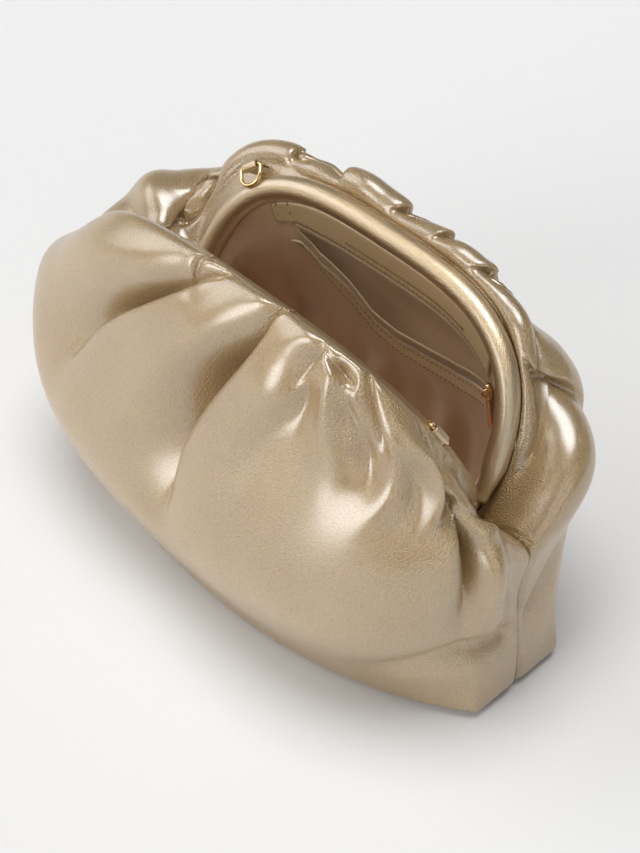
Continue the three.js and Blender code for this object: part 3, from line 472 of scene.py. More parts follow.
# %% Tables of ridges and swellings
# A ridge has a curve, heights and widths; a swelling has a centre, two radii in (u, v) and a height
RIDGE_COLUMNS = "side u0 v0 u1 v1 u2 v2 h0 hm h1 w0 w1".split()
RIDGES = [dict(zip(RIDGE_COLUMNS, row)) for row in [
    (FRONT, .384, .12, .350, .245, .308, .335, 2, 4, 1, 4, 11),
    (FRONT, .080, .31, .066, .43, .040, .56, 4, 15, 4, 13, 17),
    (FRONT, .610, .17, .70, .26, .80, .36, 2, 6, 3, 18, 40),
    (FRONT, .500, .15, .575, .30, .665, .44, 2, 7, 3, 16, 40),
    (FRONT, .415, .15, .440, .33, .460, .47, 2, 6, 2, 12, 30),
    (BACK, .955, .24, .925, .32, .895, .41, 4, 7, 3, 14, 18),
]]
PUFF_COLUMNS = "side u v ru rv height".split()
PUFFS = [dict(zip(PUFF_COLUMNS, row)) for row in [
    (FRONT, .80, .26, .10, .10, 6), (FRONT, .40, .47, .16, .10, 4),
    (FRONT, .27, .425, .11, .085, 7),
    (BACK, .10, .33, .06, .08, 4), (BACK, .86, .31, .07, .05, 3), (FRONT, .070, .16, .040, .08, -6),
    (BACK, .60, .10, .03, .06, 3), (BACK, .435, .10, .03, .07, 3.5), (BACK, .30, .10, .025, .06, 2),
]]
print("gathers:", len(FOLDS), "folds,", len(RIDGES), "ridges,", len(PUFFS), "swellings")


# %% Beside a fold
def fold_path(row, grid, rows, count=80):
    """Curve through three (u, v) points: the quadratic that passes through them at t = 0, 1/2 and 1."""
    t = np.linspace(0, 1, count)
    a, b, c = (1 - t) * (1 - 2 * t), 4 * t * (1 - t), t * (2 * t - 1)
    u = row["u0"] * a + row["u1"] * b + row["u2"] * c
    v = row["v0"] * a + row["v1"] * b + row["v2"] * c
    return t, u, v, grid_point(grid, rows, u, v)


def nearest(grid, path):
    """Index of the nearest path point and its distance, for every point of a grid."""
    far = np.linalg.norm(grid[:, :, None].astype(np.float32) - path[None, None].astype(np.float32), axis=3)
    return far.argmin(2), far.min(2)


def rise_and_fall(t, start, middle, end, peak=.4):
    """Value along a fold: start to middle up to its peak, then to end, and out."""
    before = start + (middle - start) * ease(t / peak)
    after = middle + (end - middle) * ease((t - peak) / (1 - peak))
    return np.where(t < peak, before, after) * (1 - t ** 6)


def beside_fold(grid, t, path):
    """Fold parameter and distance of each grid point: nearest path point, then the foot on its tangent."""
    i, far = nearest(grid, path)
    tangent = np.gradient(path, axis=0)
    length = np.linalg.norm(tangent, axis=1)
    slip = ((grid - path[i]) * tangent[i]).sum(2) / length[i]
    slip = np.clip(slip, np.where(i > 0, -length[i], 0), np.where(i < len(t) - 1, length[i], 0))
    return i, t[i] + slip / length[i] * (t[1] - t[0]), np.sqrt(np.maximum(far ** 2 - slip ** 2, 1e-9))


# %% Depth of the folds
WALL_MM = 1.6
LEAST_ROOM, SPARE_ROOM = .5, .4
CREST_SHARE, CREST_V, CREST_FADE = {FRONT: 1.0, BACK: .9}, .10, .12
CREST_RAISE = {FRONT: 1.5, BACK: 0.0}
OVERLAP = .58
SLOW_TOP, SLOW_LOW, SLOW_OVER, STEEP_POWER = 2.6, 1.6, .4, 3
SOFT_FROM = .5
PANEL_LONG, PANEL_HIGH = 380, 285  # a panel's rough size in millimetres, to weigh u against v


def fold_room(grid, rows, side):
    """Depth that a fold may have: the way to the tube, less at the crest, where the leather is held."""
    to_bar = nearest(grid, bar_line(side, COARSE)[0])[1]
    room = np.maximum(LEAST_ROOM, to_bar - (BAR_R + WALL_MM + SPARE_ROOM)) + CREST_RAISE[side]
    share = CREST_SHARE[side]
    return room * (share + (1 - share) * ease((rows[:, None] - CREST_V) / CREST_FADE))


def folded(grid, rows, us, side, normal):
    """Depth of all folds (cube root of summed cubes) and the sideways shift of their steep lobes."""
    depth, shift = np.zeros(grid.shape[:2]), np.zeros(grid.shape)
    room = fold_room(grid, rows, side)
    U, V = np.meshgrid(us, rows)
    for row in [r for r in FOLDS if r["side"] == side]:
        t, pu, pv, path = fold_path(row, grid, rows)
        i, s, far = beside_fold(grid, t, path)
        du, dv = np.gradient(pu)[i] * PANEL_LONG, np.gradient(pv)[i] * PANEL_HIGH
        hand = np.sign(dv * (U - pu[i]) * PANEL_LONG - du * (V - pv[i]) * PANEL_HIGH) * row["high"]
        amp = room * np.tanh(rise_and_fall(s, row["d0"], row["dm"], row["d1"], row["peak"]) / room)
        slow = row["slow0"] + (row["slow1"] - row["slow0"]) * s
        steep = row["steep0"] + (row["steep1"] - row["steep0"]) * s
        q = np.clip(np.where(hand > 0, far / steep, far / slow), 0, 1)
        soft = ease((s - SOFT_FROM) / (1 - SOFT_FROM))
        power = np.where(hand > 0, STEEP_POWER, SLOW_TOP + (SLOW_LOW - SLOW_TOP) * ease(s / SLOW_OVER))
        depth += (amp * ((1 - soft) * (1 - q) ** power + soft * (1 - q * q) ** 2)) ** 3
        across = unit(np.cross(normal, unit(np.gradient(path, axis=0))[i]))
        across *= np.sign(((grid - path[i]) * across).sum(2, keepdims=True) + 1e-12)
        x = 2 * far / steep
        over = np.minimum(row["over"] * amp, OVERLAP * steep) * x * x * np.exp(1 - x * x) * (hand > 0)
        shift -= across * over[..., None]
    return np.cbrt(depth), shift


# %% Height of the swellings
def swelling(grid, rows, us, side):
    """Height of the soft ridges, (1 - q^2)^2 across their path, and of the round swellings."""
    U, V = np.meshgrid(us, rows)
    height = np.zeros(grid.shape[:2])
    for row in [r for r in RIDGES if r["side"] == side]:
        t, _, _, path = fold_path(row, grid, rows)
        _, s, far = beside_fold(grid, t, path)
        q = far / (row["w0"] + (row["w1"] - row["w0"]) * s)
        height += rise_and_fall(s, row["h0"], row["hm"], row["h1"]) * np.clip(1 - q * q, 0, 1) ** 2
    for row in [r for r in PUFFS if r["side"] == side]:
        across, down = (U - row["u"]) / row["ru"], (V - row["v"]) / row["rv"]
        height += row["height"] * np.exp(-across ** 2 - down ** 2)
    return height


# %% [markdown]
# ## The two panels
# The front panel wraps over its tube; the back panel ends in a padded roll beside its own. The rows of
# the grid lie close together at the top, where the pleats are sharp, and wide apart under the base. A
# fold moves the leather inwards, near the front tube along the tube's own outward direction and lower
# down along the surface's normal. A few smoothing passes take the knife edge off, and at last each point
# that came too near the tube is pushed off it.

# %% Rolled back edge
PANEL_U = np.linspace(0, 1, 385)
PANEL_V = np.concatenate([np.linspace(0, .34, 68)[:-1], np.linspace(.34, .72, 44)[:-1],
                          np.linspace(.72, 1, 7)])
ROLL_R, ROLL_REACH, ROLL_TILT = 7.8, 14.5, 46.9
ROLL_LEFT, ROLL_LEFT_OVER, ROLL_WIDE, ROLL_TILT_LEFT = .67, .13, 11.0, 32.0
ROLL_RIGHT, ROLL_RIGHT_OVER, ROLL_SLIM, ROLL_NEAR = .36, .12, 2.5, 4.0
ROLL_LOW, ROLL_RISE = 8, 40
ROLL_START, ROLL_END, ROLL_BLEND, ROLL_FADE = .03, .19, .8, .15


def rolled_edge(grid, spine, outs, away):
    """Back edge: a half circle from the tube to its far side, wider at the left, blended into the loft."""
    V = PANEL_V[:, None, None]
    left = ease((PANEL_U - ROLL_LEFT) / ROLL_LEFT_OVER)[:, None]
    right = ease((ROLL_RIGHT - PANEL_U) / ROLL_RIGHT_OVER)[:, None]
    tilt = np.radians(ROLL_TILT + (ROLL_TILT_LEFT - ROLL_TILT) * left)
    far = np.cos(tilt) * outs + np.sin(tilt) * away
    top = np.sin(tilt) * outs - np.cos(tilt) * away
    reach = ROLL_REACH + ROLL_WIDE * left - ROLL_NEAR * right
    radius = ROLL_R - ROLL_SLIM * right
    angle = np.pi * np.clip(V / ROLL_END, 0, 1)
    arc = spine + reach * far + radius * (np.sin(angle) * top - np.cos(angle) * far)
    height = np.hypot(spine[:, 1], spine[:, 2] - HINGE_Z)
    gone = ease((V - ROLL_BLEND * ROLL_END) / ROLL_FADE)
    share = ease((height - ROLL_LOW) / ROLL_RISE)[None, :, None] * ease(V / ROLL_START) * (1 - gone)
    return grid * (1 - share) + arc * share


# %% Smooth panel
RIM_OFFSET, RIM_TURN, RIM_SLACK = {FRONT: 8.1, BACK: 6.5}, {FRONT: -50, BACK: 35}, 15.0
WAY_FROM, WAY_OVER, WAY_AWAY = .10, .16, .5


def lofted(side):
    """Panel without folds: rim and rings joined by the spline; also its normals and the way that folds go."""
    count = len(PANEL_U)
    rim, rim_out, spine = bar_ring(side, count, RIM_OFFSET[side], RIM_TURN[side], slack=RIM_SLACK)
    grid = across_rings(np.stack([rim] + [section_ring(row, side, count) for row in BODY]), PANEL_V)
    grid[..., 2] = np.maximum(grid[..., 2], 0)
    away = bar_line(side, 3)[2]  # the same all along, so three points are enough
    if side == BACK:
        grid = rolled_edge(grid, spine, rim_out, away)
    normal = grid_normals(grid, side)
    lower = ease((PANEL_V - WAY_FROM) / WAY_OVER)[:, None, None] if side == FRONT else 1
    way = unit(unit(rim_out + WAY_AWAY * away)[None] * (1 - lower) + normal * lower)
    return grid, normal, way


# %% Softening and keeping off the tube
def relaxed(grid, passes):
    """Weighted mean of each point and its neighbours along rows, then columns: 1/4, 1/2, 1/4."""
    for _ in range(passes):
        mid = grid.copy()
        mid[1:-1] = .25 * grid[:-2] + .5 * grid[1:-1] + .25 * grid[2:]
        grid = mid.copy()
        grid[:, 1:-1] = .25 * mid[:, :-2] + .5 * mid[:, 1:-1] + .25 * mid[:, 2:]
    return grid


def clear_of_bar(points, side, room):
    """Pushes points that come too near the tube straight out, to its radius and the room they need."""
    centre, out, away, h = bar_line(side, COARSE)
    i, _ = nearest(points, centre)
    room = (bar_radius(h) + room)[i][..., None]
    arm = points - centre[i]
    across = (arm * out[i]).sum(-1, keepdims=True) * out[i] + (arm @ away)[..., None] * away
    short = np.maximum(0, room - np.linalg.norm(arm, axis=-1, keepdims=True))
    return points + unit(across) * short


# %% Panel with its folds
HELD, HELD_OVER, HELD_SHARE = .01, .08, .2
END_FADE, BASE_V, BASE_FADE, TOP_FADE = .025, .75, .05, .06
RAISED_TO, RAISED_FADE, RAISED_END = .42, .25, .15
SOFTENED = {FRONT: 3, BACK: 1}
SEAM_DEPTH, SEAM_WIDTH, SEAM_FROM = 1.8, 2.2, .1
NEAR_TUBE = .36


def panel_skin(side):
    """Loft less its folds, plus its swellings, softened; then the end seams and the flat base."""
    grid, normal, way = lofted(side)
    U, V = np.meshgrid(PANEL_U, PANEL_V)
    to_end, over_base = np.minimum(U, 1 - U), ease((BASE_V - V) / BASE_FADE)
    free, loose = ease(to_end / END_FADE) * over_base, ease((V - HELD) / HELD_OVER)
    depth, shift = folded(grid, PANEL_V, PANEL_U, side, normal)
    raised = CREST_RAISE[side] * ease((RAISED_TO - V) / RAISED_FADE) * ease(to_end / RAISED_END)
    swell = (swelling(grid, PANEL_V, PANEL_U, side) + raised) * ease(V / TOP_FADE)
    swell = swell - depth * (HELD_SHARE + (1 - HELD_SHARE) * loose)
    skin = grid + way * (swell * free)[..., None] + shift * (loose * free)[..., None]
    skin = relaxed(skin, SOFTENED[side])
    to_right, to_left = (np.linalg.norm(skin - skin[:, [end]], axis=2) for end in (0, -1))
    seam = np.exp(-(np.minimum(to_right, to_left) / SEAM_WIDTH) ** 2)
    groove = SEAM_DEPTH * seam * ease((V - SEAM_FROM) / SEAM_FROM) * over_base
    skin = skin - normal * groove[..., None]
    near = PANEL_V < NEAR_TUBE
    skin[near] = clear_of_bar(skin[near], side, RIM_OFFSET[side] - BAR_R)
    skin[..., 1] = side * np.maximum(0, side * skin[..., 1])
    skin[:, [0, -1], 1] = 0
    skin[-1, :, 1] = 0
    skin[..., 2] = np.maximum(skin[..., 2], 0)
    return skin, depth


# %% Leather panels
def grid_size(grid):
    """Square metres, half the cross product of each quad's diagonals; longest row and column in metres."""
    across = np.cross(grid[1:, 1:] - grid[:-1, :-1], grid[1:, :-1] - grid[:-1, 1:])
    row = np.linalg.norm(np.diff(grid, axis=1), axis=2).sum(1).max()
    column = np.linalg.norm(np.diff(grid, axis=0), axis=2).sum(0).max()
    return np.round([np.linalg.norm(across, axis=2).sum() / 2e6, row / 1000, column / 1000], 4)


def leather_panel(name, side, node):
    """One panel from rim to base, with its wall thickness."""
    skin, depth = panel_skin(side)
    faces = grid_faces(*skin.shape[:2])
    faces = faces if side > 0 else faces[:, ::-1]
    piece = wall(mesh_object(name, skin, faces.tolist(), LEATHER), WALL_MM)
    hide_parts(node)
    print(name, skin.shape[:2], "deepest fold", round(float(depth.max()), 1), "mm")
    print("area, longest row and column", grid_size(skin))
    return piece, skin


front_leather, front_skin = leather_panel("front_leather", FRONT, "front_panel")
back_leather, back_skin = leather_panel("back_leather", BACK, "back_panel")

# %% [markdown]
# ## The satin lining
# A second, lighter bag hangs inside the first one from the tubes. It is lofted through its own rings
# in the same way. Satin is limp, so it hangs in soft waves, and where the leather folds reach in, the
# lining gives way. On the back wall it is pushed back behind the open zip, where the pocket is.

# %% Rings of the lining and edges of the open zip
LINING_OFFSET, LINING_TURN, SATIN_MM, LINING_FLOOR = 6.0, 30, 0.8, 4.0
LINING = [dict(zip(BODY_COLUMNS, row)) for row in [
    (97, 84, -98, 86, -42, 150, 49.5, 140, 3.2, 3.2, 3.2, 3, 0, 20),
    (112, 60, -128, 68, -62, 84, 54, 90, 2.9, 2.9, 2.9, 2.7, 0, 20),
    (121, 30, -134, 34, -58, 28, 55, 36, 2.7, 2.7, 2.7, 2.6, .3, 22),
    (118, 4, -112, 4, -48, 4, 45, 4, 2.6, 2.6, 2.6, 2.6, 1, 22),
    (95, 4, -92, 4, 0, 4, 0, 4, 2, 2, 2, 2, 1, .01),
]]
ZIP_U = np.array([.254, .33, .396, .47, .529, .588, .662, .708])
ZIP_FACING = np.array([.15, .122, .114, .114, .116, .117, .106, .085])
ZIP_SAG = np.array([.185, .225, .241, .25, .241, .2, .168, .116])
LINING_V = np.concatenate([np.linspace(0, .45, 56)[:-1], np.linspace(.45, 1, 30)])
LINING_U = np.linspace(0, 1, 181)


def facing_edge(u):
    """Lower rim of the facing along the back wall, between the table's rows."""
    return np.interp(u, ZIP_U, ZIP_FACING)


def sag_edge(u):
    """Sagging lower edge of the open zip, between the table's rows."""
    return np.interp(u, ZIP_U, ZIP_SAG)


def lining_skin(side):
    """Half of the lining: the line along the tube and five rings, joined by the same spline."""
    count = len(LINING_U)
    top = bar_ring(side, count, LINING_OFFSET, LINING_TURN, -1)[0]
    grid = across_rings(np.stack([top] + [section_ring(row, side, count) for row in LINING]), LINING_V)
    grid[..., 2] = np.maximum(grid[..., 2], LINING_FLOOR)
    return grid


# %% Waves and the hollow of the pocket
WAVE_MM, WAVE_TOP, WAVE_GROW, WAVE_FLOOR, WAVE_FADE, WAVE_END = 5.5, .08, .3, .74, .1, .06
POCKET_DEPTH, POCKET_RIGHT, POCKET_LEFT, POCKET_FADE = 11, .262, .70, .03
POCKET_TOP_FADE, POCKET_BELOW, POCKET_LOW_FADE = .02, .06, .05


def satin_waves(u, v, side):
    """Hanging waves: three sines of u with drifting phase, growing with the way below the rim."""
    wave = .6 * np.sin(2 * np.pi * (7 * u + .35 * np.sin(6 * v))) \
        + .4 * np.sin(2 * np.pi * (13 * u - .5 * v) + 1.3) + .3 * np.sin(2 * np.pi * (4 * u + 1.2 * v) + side)
    below, above = ease((v - WAVE_TOP) / WAVE_GROW), ease((WAVE_FLOOR - v) / WAVE_FADE)
    return WAVE_MM * wave * below * above * ease(np.minimum(u, 1 - u) / WAVE_END)


def pocket_hollow(u, v):
    """Depth behind the open zip: full between the facing and the sagging edge, out in a soft step."""
    inside = ease((v - facing_edge(u)) / POCKET_TOP_FADE)
    inside = inside * ease((sag_edge(u) + POCKET_BELOW - v) / POCKET_LOW_FADE)
    ends = ease((u - POCKET_RIGHT) / POCKET_FADE) * ease((POCKET_LEFT - u) / POCKET_FADE)
    return POCKET_DEPTH * inside * ends


# %% Lining inside the leather
PUSH_MOST = 40
CALM_MIDDLE, CALM_HALF, CALM_FADE, CALM_FLOOR, CALM_FLOOR_FADE = .49, .261, .03, .36, .06
SEWN_V, FIRST_GAP, LAST_GAP = .12, 1.6, 2.2


def kept_inside(grid, skin, side, gap):
    """Moves points that come nearer to the leather than the gap back along the leather's normal."""
    spots = skin[::2, ::3].reshape(-1, 3)
    normals = grid_normals(skin, side)[::2, ::3].reshape(-1, 3)
    near = np.concatenate([((row[:, None] - spots[None]) ** 2).sum(2).argmin(1)[None] for row in grid])
    short = gap - ((spots[near] - grid) * normals[near]).sum(2)
    return grid - normals[near] * np.clip(short, 0, PUSH_MOST)[..., None]


def hung_half(side, skin):
    """Half of the lining: its waves and the pocket's hollow, pushed off the leather and smoothed, twice."""
    grid = lining_skin(side)
    U, V = np.meshgrid(LINING_U, LINING_V)
    waves = satin_waves(U, V, side)
    if side == BACK:
        beside_pocket = ease((np.abs(U - CALM_MIDDLE) - CALM_HALF) / CALM_FADE)
        below_pocket = ease((V - CALM_FLOOR) / CALM_FLOOR_FADE)
        waves = waves * np.maximum(beside_pocket, below_pocket) + pocket_hollow(U, V)
    grid = grid + grid_normals(grid, side) * waves[..., None]
    lower = LINING_V > SEWN_V
    first = relaxed(kept_inside(grid[lower], skin, side, WALL_MM + FIRST_GAP), 8)
    grid[lower] = relaxed(kept_inside(first, skin, side, WALL_MM + LAST_GAP), 2)
    grid[..., 2] = np.maximum(grid[..., 2], LINING_FLOOR)
    grid[:, [0, -1], 1] = 0
    return grid


# %% Lining
def satin_lining():
    """Both halves as one bag: rings that go round, and a last row that they share along the floor."""
    back, front = hung_half(BACK, back_skin), hung_half(FRONT, front_skin)
    rows, columns = back.shape[:2]
    round_rows = np.concatenate([back, front[:, -2:0:-1]], 1)[:-1]
    floor_line = back[-1] * [1, 0, 1]
    points = np.concatenate([round_rows.reshape(-1, 3), floor_line])
    around = 2 * columns - 2
    index = np.arange((rows - 1) * around).reshape(rows - 1, around)
    last = (rows - 1) * around + np.concatenate([np.arange(columns), np.arange(columns - 2, 0, -1)])
    index = np.concatenate([index, last[None]])
    index = np.concatenate([index, index[:, :1]], 1)
    piece = wall(mesh_object("satin_lining", points, index_quads(index).tolist(), SATIN), SATIN_MM)
    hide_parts("lining")
    print("lining", rows, "rows of", around, "points")
    print("halves' area, longest row and column", grid_size(back), grid_size(front))
    return piece


lining = satin_lining()

# %% [markdown]
# ## Pocket pieces on the back wall
# A leather facing carries the zip under the tube, and a stitched band carries the lower half of the
# zip, which sags open. All of them lie on the lining's back wall, so each one is a strip in the wall's
# own (u, v) with a height above it: a flat underside and a crowned top, like a skived leather edge.

# %% Places on the wall
WALL = lining_skin(BACK)
WALL_NORMALS = grid_normals(WALL, BACK)
GAPE = 6.0


def gape(u):
    """How far the sagging edge stands off the wall: a half sine over the length of the zip."""
    return GAPE * np.sin(np.pi * np.clip((u - ZIP_U[0]) / (ZIP_U[-1] - ZIP_U[0]), 0, 1))


def wall_point(u, v, inside):
    """Point over the lining's back wall: the wall's point less its normal times satin and distance."""
    u, v, inside = np.broadcast_arrays(u, v, inside)
    normal = unit(grid_point(WALL_NORMALS, LINING_V, u, v))
    return grid_point(WALL, LINING_V, u, v) - normal * (SATIN_MM + inside)[..., None]


# %% Strips on the wall
STRIP_ACROSS, STRIP_ALONG = 15, 121


def crowned(count, sharp=8):
    """Section of a strip: shares t across and heights, root of 1 - |2t - 1|^sharp above and 0 below."""
    t = .5 - .5 * np.cos(np.linspace(0, np.pi, count))
    top = np.sqrt(1 - np.abs(2 * t - 1) ** sharp)
    return np.concatenate([t, t[-2:0:-1]]), np.concatenate([top, 0 * t[-2:0:-1]])


def wall_strip(name, node, ends, top, bottom, thick, inside, material):
    """Strip along the wall between two v curves, as a closed body of crowned sections along u."""
    t, height = crowned(STRIP_ACROSS)
    u = np.linspace(*ends, STRIP_ALONG)[:, None]
    points = wall_point(u, top(u) + (bottom(u) - top(u)) * t, inside(u, t) + thick * height)
    piece = tube(name, points, material)
    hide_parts(node)


# %% Facing, band and tape
ZIP_ENDS = (ZIP_U[0], ZIP_U[-1])
FACING_TOP, FACING_LEFT, FACING_THICK, FACING_LIFT = .006, .748, 1.2, .5
TAPE_TOP, TAPE_DROP, TAPE_THICK, TAPE_LIFT, TAPE_FALL = .009, .032, .8, .9, .3
BAND_TOP, BAND_DROP, BAND_THICK, BAND_LIFT, BAND_GAPE = .003, .095, 1.4, .6, .7
BAND_LEAST, BAND_LEFT, BAND_POINT, BAND_POINT_OVER = .008, .02, .74, .14


def band_edge(u):
    """Lower edge of the band, which narrows to a point at the zip's left end."""
    wide = BAND_DROP - TAPE_DROP - BAND_LEAST
    return sag_edge(u) + TAPE_DROP + BAND_LEAST + wide * ease((BAND_POINT - u) / BAND_POINT_OVER)


wall_strip("pocket_facing_leather", "pocket_facing", (ZIP_U[0], FACING_LEFT), lambda u: FACING_TOP + 0 * u,
           facing_edge, FACING_THICK, lambda u, t: FACING_LIFT + 0 * u, TRIM_LEATHER)
wall_strip("pocket_band_leather", "pocket_band", (ZIP_U[0], ZIP_U[-1] + BAND_LEFT),
           lambda u: sag_edge(u) + TAPE_DROP + BAND_TOP, band_edge, BAND_THICK,
           lambda u, t: BAND_LIFT + BAND_GAPE * gape(u) * (1 - t), TRIM_LEATHER)
wall_strip("zip_tape_woven", "zip_tape", ZIP_ENDS, lambda u: sag_edge(u) + TAPE_TOP,
           lambda u: sag_edge(u) + TAPE_DROP, TAPE_THICK,
           lambda u, t: TAPE_LIFT + gape(u) * (1 - TAPE_FALL * t), TAPE)
zip_steps = np.diff(wall_point(ZIP_U, ZIP_SAG, 0), axis=0)
print("zip", round(float(np.linalg.norm(zip_steps, axis=1).sum())), "mm long")

# %% [markdown]
# ## Zip teeth and stitches
# A coil zip is a row of fine nylon turns, and a seam is a row of short stitches. Both are one small
# barrel set again and again along a line: its few points are multiplied by the axes of every place in
# one array product.

# %% Repeated barrels
def barrel(half, radius, sides=6):
    """Small barrel along x: four rings with drawn-in ends, hexagon caps as two quads each."""
    angle = np.linspace(0, 2 * np.pi, sides, endpoint=False)
    x = half * np.array([-1, -.8, .8, 1])
    r = radius * np.array([.5, 1, 1, .5])
    points = np.stack([x[:, None] + 0 * angle, r[:, None] * np.cos(angle), r[:, None] * np.sin(angle)], -1)
    caps = np.array([[0, 1, 2, 3], [0, 3, 4, 5]])
    faces = np.concatenate([grid_faces(4, sides, around=True), caps, caps[:, ::-1] + 3 * sides])
    return points.reshape(-1, 3), faces


def repeated(name, shape, origin, along, up, material):
    """One shape at every place: origin + x along + y across + z up."""
    points, faces = shape
    axes = np.stack([along, np.cross(up, along), up], 1)
    spots = origin[:, None] + np.einsum("pk,nkc->npc", points, axes)
    quads = (faces[None] + (np.arange(len(origin)) * len(points))[:, None, None]).reshape(-1, 4)
    return face_out(mesh_object(name, spots, quads.tolist(), material))


def places_along(u, v, inside, pitch):
    """Evenly spaced places on a wall line with their directions: along it and off the wall."""
    line, off = wall_point(u, v, inside), -unit(grid_point(WALL_NORMALS, LINING_V, u, v))
    count = int(np.linalg.norm(np.diff(line, axis=0), axis=1).sum() / pitch)
    spots = along_length(line, count)
    along = unit(np.gradient(spots, axis=0))
    up = along_length(line, count, off)
    return spots, along, unit(up - (up * along).sum(1, keepdims=True) * along)


# %% Zip coils
COIL_PITCH, COIL_HALF, COIL_R = 1.05, 1.15, .55
COIL_TOP, COIL_UPPER_LIFT, COIL_LOWER_LIFT = .009, 1.4, 1.6


def zip_coil(name, node, v, inside):
    """Nylon turns across the zip's edge."""
    u = np.linspace(*ZIP_ENDS, 241)
    spots, along, up = places_along(u, v(u), inside(u), COIL_PITCH)
    piece = repeated(name, barrel(COIL_HALF, COIL_R), spots, np.cross(along, up), up, COIL)
    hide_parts(node)
    print(name, len(spots), "turns")


zip_coil("zip_coil_upper_turns", "zip_coil_upper", lambda u: facing_edge(u) + COIL_TOP,
         lambda u: COIL_UPPER_LIFT + 0 * u)
zip_coil("zip_coil_lower_turns", "zip_coil_lower", sag_edge, lambda u: COIL_LOWER_LIFT + gape(u))

# %% Stitches
STITCH_PITCH, STITCH_HALF, STITCH_R = 3.0, 1.05, .34
FACING_STITCH, BAND_STITCH = 1.66, 1.36
BAND_UPPER_SHARE, BAND_LOWER_SHARE = .84, .18
FACING_SEAM, BAND_UPPER_SEAM, BAND_LOWER_SEAM = .013, .013, .009
SEAM_RIGHT, SEAM_LEFT, END_SEAM, ZIP_END_SEAM = .012, .004, .010, .006
END_SEAM_TOP, END_SEAM_LOW = .006, .084


def stitch_row(name, u, v, inside):
    """Thread stitches along a wall line, a little sunk into the leather."""
    spots, along, up = places_along(u, v, inside, STITCH_PITCH)
    repeated(name, barrel(STITCH_HALF, STITCH_R), spots, along, up, THREAD)
    print(name, len(spots), "stitches")


along_zip = np.linspace(ZIP_U[0] + SEAM_RIGHT, ZIP_U[-1] - SEAM_LEFT, 201)
down_end = np.linspace(FACING_TOP + END_SEAM_TOP, END_SEAM_LOW, 30)
stitch_row("facing_stitches", along_zip, facing_edge(along_zip) - FACING_SEAM, FACING_STITCH)
stitch_row("facing_end_stitches", FACING_LEFT - END_SEAM + 0 * down_end, down_end, FACING_STITCH)
stitch_row("zip_end_stitches", ZIP_U[-1] + ZIP_END_SEAM + 0 * down_end, down_end, FACING_STITCH)
stitch_row("band_upper_stitches", along_zip, sag_edge(along_zip) + TAPE_DROP + BAND_UPPER_SEAM,
           BAND_LIFT + BAND_GAPE * gape(along_zip) * BAND_UPPER_SHARE + BAND_STITCH)
stitch_row("band_lower_stitches", along_zip, band_edge(along_zip) - BAND_LOWER_SEAM,
           BAND_LIFT + BAND_GAPE * gape(along_zip) * BAND_LOWER_SHARE + BAND_STITCH)

# %% Piping on the facing
CORD_SIDES = 10
PIPING_DROP, PIPING_LIFT, PIPING_R = .034, 1.7, .45


def wall_cord(name, u, v, inside, radius, material, pitch=2.0):
    """Thin round cord along a wall line: a circle at every place of the line."""
    spots, along, up = places_along(u, v, inside, pitch)
    angle = np.linspace(0, 2 * np.pi, CORD_SIDES, endpoint=False)
    rings = spots[:, None] + radius * (np.cos(angle)[:, None] * up[:, None]
                                       + np.sin(angle)[:, None] * np.cross(along, up)[:, None])
    tube(name, rings, material)
    print(name, len(rings), "rings")


piping_u = np.linspace(.33, .60, 90)
wall_cord("facing_piping", piping_u, facing_edge(piping_u) - PIPING_DROP, PIPING_LIFT, PIPING_R,
          EDGE)

# %% [markdown]
# ## Slider and puller
# The zip slider is a small plated casting with a bridge, and a plain plated tongue hangs from it. Both
# are lofted across their outline: the half width is a superellipse along the way down.

# %% Slider and puller
SLIDER_U = .2435
PLATE_ACROSS, PLATE_SHARP, PLATE_TIP = 13, 6, .002


def wall_plate(name, node, half, ends, thick, inside, power, material, rows):
    """Plate on the wall: crowned sections across u, half width (1 - |2s - 1|^n)^(1/n) on the way down."""
    t, height = crowned(PLATE_ACROSS, PLATE_SHARP)
    s = np.linspace(PLATE_TIP, 1 - PLATE_TIP, rows)[:, None]
    width = half * (1 - np.abs(2 * s - 1) ** power) ** (1 / power)
    u, v = SLIDER_U + width * (2 * t - 1), ends[0] + (ends[1] - ends[0]) * s
    piece = tube(name, wall_point(u, v, inside + thick * height), material)
    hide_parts(node)
    print(name, rows, "rows")


def slider_bridge(start, length, foot, rise, wire):
    """Arch over the slider that holds the tongue: a half sine of height along v."""
    s = np.linspace(0, 1, 25)
    v, height = start + length * s, foot + rise * np.sin(np.pi * s)
    wall_cord("zip_slider_bridge", SLIDER_U + 0 * s, v, height, wire, GOLD, pitch=.5)


wall_plate("zip_slider_body", "zip_slider", half=.009, ends=(.162, .205), thick=2.6, inside=.5, power=5,
           material=GOLD, rows=41)
wall_plate("zip_puller_tongue", "zip_puller", half=.007, ends=(.2072, .322), thick=1.4, inside=1.2, power=8,
           material=ROSE_GOLD, rows=61)
slider_bridge(start=.172, length=.033, foot=2.8, rise=2.4, wire=.7)

# %% [markdown]
# ## Strap fittings and hinges
# Two short leather loops sit on the tubes and each holds a D-ring of gold-plated wire for a strap. The
# loop is a rounded strip carried round the wire, and the ring is a circle carried along a D. The small
# hinges at the ends of the tubes keep their own shape and get the plated finish.

# %% Places of the fittings
# Each fitting: its tube and x, then in the tube's (out, away) plane the wire inside the loop, the end of
# the tab's tail and the direction in which the ring lies
FITTINGS = {
    "back": dict(side=BACK, x=-84, tab=(13.0, -3.2), tail=(10.5, 7.5), lie=(-.94, -.34)),
    "front": dict(side=FRONT, x=89, tab=(8.8, -5), tail=(8, -1.6), lie=(-.945, -.327)),
}


def bar_place(side, x):
    """Origin and (along, out, away) axes at the upper part of a tube where x has a value."""
    centre, out, away, h = bar_line(side, FINE)
    i = np.where(h > .5 * RISE, np.abs(centre[:, 0] - x), 1e9).argmin()
    return centre[i], np.stack([np.cross(out[i], away), out[i], away])


